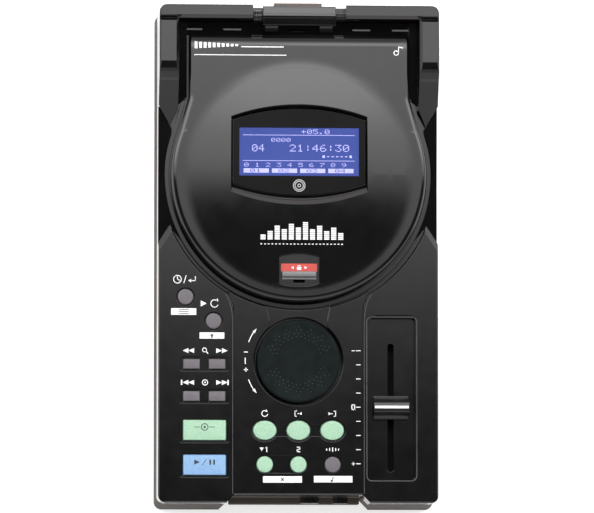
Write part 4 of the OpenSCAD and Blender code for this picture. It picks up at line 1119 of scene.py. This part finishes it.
class DISCPLAYER_OT_stage(bpy.types.Operator):
    """Set the pale floor, the studio light and the camera above the deck"""

    bl_idname = "discplayer.stage"
    bl_label = "Floor, light and camera"

    def execute(self, context):
        settings = context.scene.disc_player_stage
        self.floor()
        self.surroundings(context.scene)
        self.camera(context.scene, settings)
        return {"FINISHED"}

    def floor(self):
        shape = bmesh.new()
        bmesh.ops.create_grid(shape, x_segments=1, y_segments=1, size=1.6)
        mesh = bpy.data.meshes.new("floor")
        shape.to_mesh(mesh)
        shape.free()
        ground = bpy.data.objects.new("floor", mesh)
        bpy.context.scene.collection.objects.link(ground)
        recipe = Recipe("floor_white", (0.6, 0.6, 0.6), 0.7, Emission_Strength=0.6)
        recipe.shader.inputs["Emission Color"].default_value = (1, 1, 1, 1)
        recipe.colour(recipe.ramp(recipe.noise(3, 2), 0.3, 0.7, [(0.58, 0.58, 0.58), (0.61, 0.61, 0.61)]))
        mesh.materials.append(recipe.material)

    def surroundings(self, scene):
        """A room with a dark ceiling in front, a soft window over its rear and bright walls low down."""
        world = bpy.data.worlds.new("studio")
        scene.world = world
        world.use_nodes = True
        tree = world.node_tree
        back = tree.nodes["Background"]
        place = tree.nodes.new("ShaderNodeTexCoord")
        split = tree.nodes.new("ShaderNodeSeparateXYZ")
        tree.links.new(place.outputs["Generated"], split.inputs["Vector"])
        height, depth = split.outputs["Z"], split.outputs["Y"]
        near = self.band(tree, depth, (0.05, 0.125), (0.06, 3.0))
        far = self.band(tree, depth, (0.13, 0.22), (0, 2.6))
        window = self.mixed(tree, self.band(tree, depth, (0.27, 0.75), (0, 1)), self.added(tree, near, far), 0.9)
        ceiling = self.added(tree, window, self.band(tree, depth, (-0.35, -0.6), (0, 1.0)))
        low = self.band(tree, height, (0.42, 0.2), (0, 1))
        tree.links.new(self.mixed(tree, low, ceiling, 1.6), back.inputs["Strength"])
        tint = tree.nodes.new("ShaderNodeMix")
        tint.data_type = "RGBA"
        tint.inputs[6].default_value, tint.inputs[7].default_value = (1, 1, 1, 1), (1, 0.94, 0.91, 1)
        tree.links.new(low, tint.inputs[0])
        tree.links.new(tint.outputs[2], back.inputs["Color"])

    def added(self, tree, first, second):
        made = tree.nodes.new("ShaderNodeMath")
        tree.links.new(first, made.inputs[0])
        tree.links.new(second, made.inputs[1])
        return made.outputs[0]

    def mixed(self, tree, share, first, second):
        """A strength that goes from the first to the fixed second one as share rises."""
        made = tree.nodes.new("ShaderNodeMix")
        made.data_type = "FLOAT"
        tree.links.new(share, made.inputs[0])
        tree.links.new(first, made.inputs[2])
        made.inputs[3].default_value = second
        return made.outputs[0]

    def band(self, tree, value, span, strengths):
        """A gradual change of strength over a span of a direction's component."""
        made = tree.nodes.new("ShaderNodeMapRange")
        made.interpolation_type = "SMOOTHSTEP"
        made.inputs["From Min"].default_value, made.inputs["From Max"].default_value = span
        made.inputs["To Min"].default_value, made.inputs["To Max"].default_value = strengths
        tree.links.new(value, made.inputs["Value"])
        return made.outputs["Result"]

    def camera(self, scene, settings):
        eye = bpy.data.objects.new("camera", bpy.data.cameras.new("camera"))
        scene.collection.objects.link(eye)
        aim = Vector(settings.aim)
        lean = Vector((-math.tan(settings.lean_left), -math.tan(settings.lean_front), 1)).normalized()
        eye.location = aim + lean * settings.distance
        side = Vector((0, 1, 0)).cross(lean).normalized()
        up = lean.cross(side)
        eye.rotation_euler = Matrix((side, up, lean)).transposed().to_euler()
        eye.data.sensor_width = 36
        eye.data.lens = 36 * settings.distance / settings.field
        eye.data.clip_end = 20
        scene.camera = eye
        scene.view_settings.view_transform = "Standard"


class DISCPLAYER_PT_panel(bpy.types.Panel):
    """Lists the pieces of the disc player"""

    bl_idname = "DISCPLAYER_PT_panel"
    bl_label = "Disc player"
    bl_space_type = "VIEW_3D"
    bl_region_type = "UI"
    bl_category = "Disc player"

    def draw(self, context):
        for operator in PIECES:
            self.layout.operator(operator.bl_idname)


PIECES = (
    DISCPLAYER_OT_finishes,
    DISCPLAYER_OT_low_decks,
    DISCPLAYER_OT_beads,
    DISCPLAYER_OT_hinge,
    DISCPLAYER_OT_lid_skin,
    DISCPLAYER_OT_deck_marks,
    DISCPLAYER_OT_lid_marks,
    DISCPLAYER_OT_display,
    DISCPLAYER_OT_wheel,
    DISCPLAYER_OT_fader_cap,
    DISCPLAYER_OT_keys,
    DISCPLAYER_OT_lock,
    DISCPLAYER_OT_stage,
)
SETTINGS = {
    "disc_player_marks": MarkSettings,
    "disc_player_wheel": WheelSettings,
    "disc_player_keys": KeySettings,
    "disc_player_stage": StageSettings,
}


def register():
    for group in SETTINGS.values():
        bpy.utils.register_class(group)
    for operator in PIECES:
        bpy.utils.register_class(operator)
    bpy.utils.register_class(DISCPLAYER_PT_panel)
    for name, group in SETTINGS.items():
        setattr(bpy.types.Scene, name, PointerProperty(type=group))


def unregister():
    for name in SETTINGS:
        delattr(bpy.types.Scene, name)
    bpy.utils.unregister_class(DISCPLAYER_PT_panel)
    for operator in reversed(PIECES):
        bpy.utils.unregister_class(operator)
    for group in reversed(list(SETTINGS.values())):
        bpy.utils.unregister_class(group)


def main():
    register()
    for operator in PIECES:
        group, name = operator.bl_idname.split(".")
        getattr(getattr(bpy.ops, group), name)()
    bpy.context.view_layer.update()


if __name__ == "__main__":
    main()
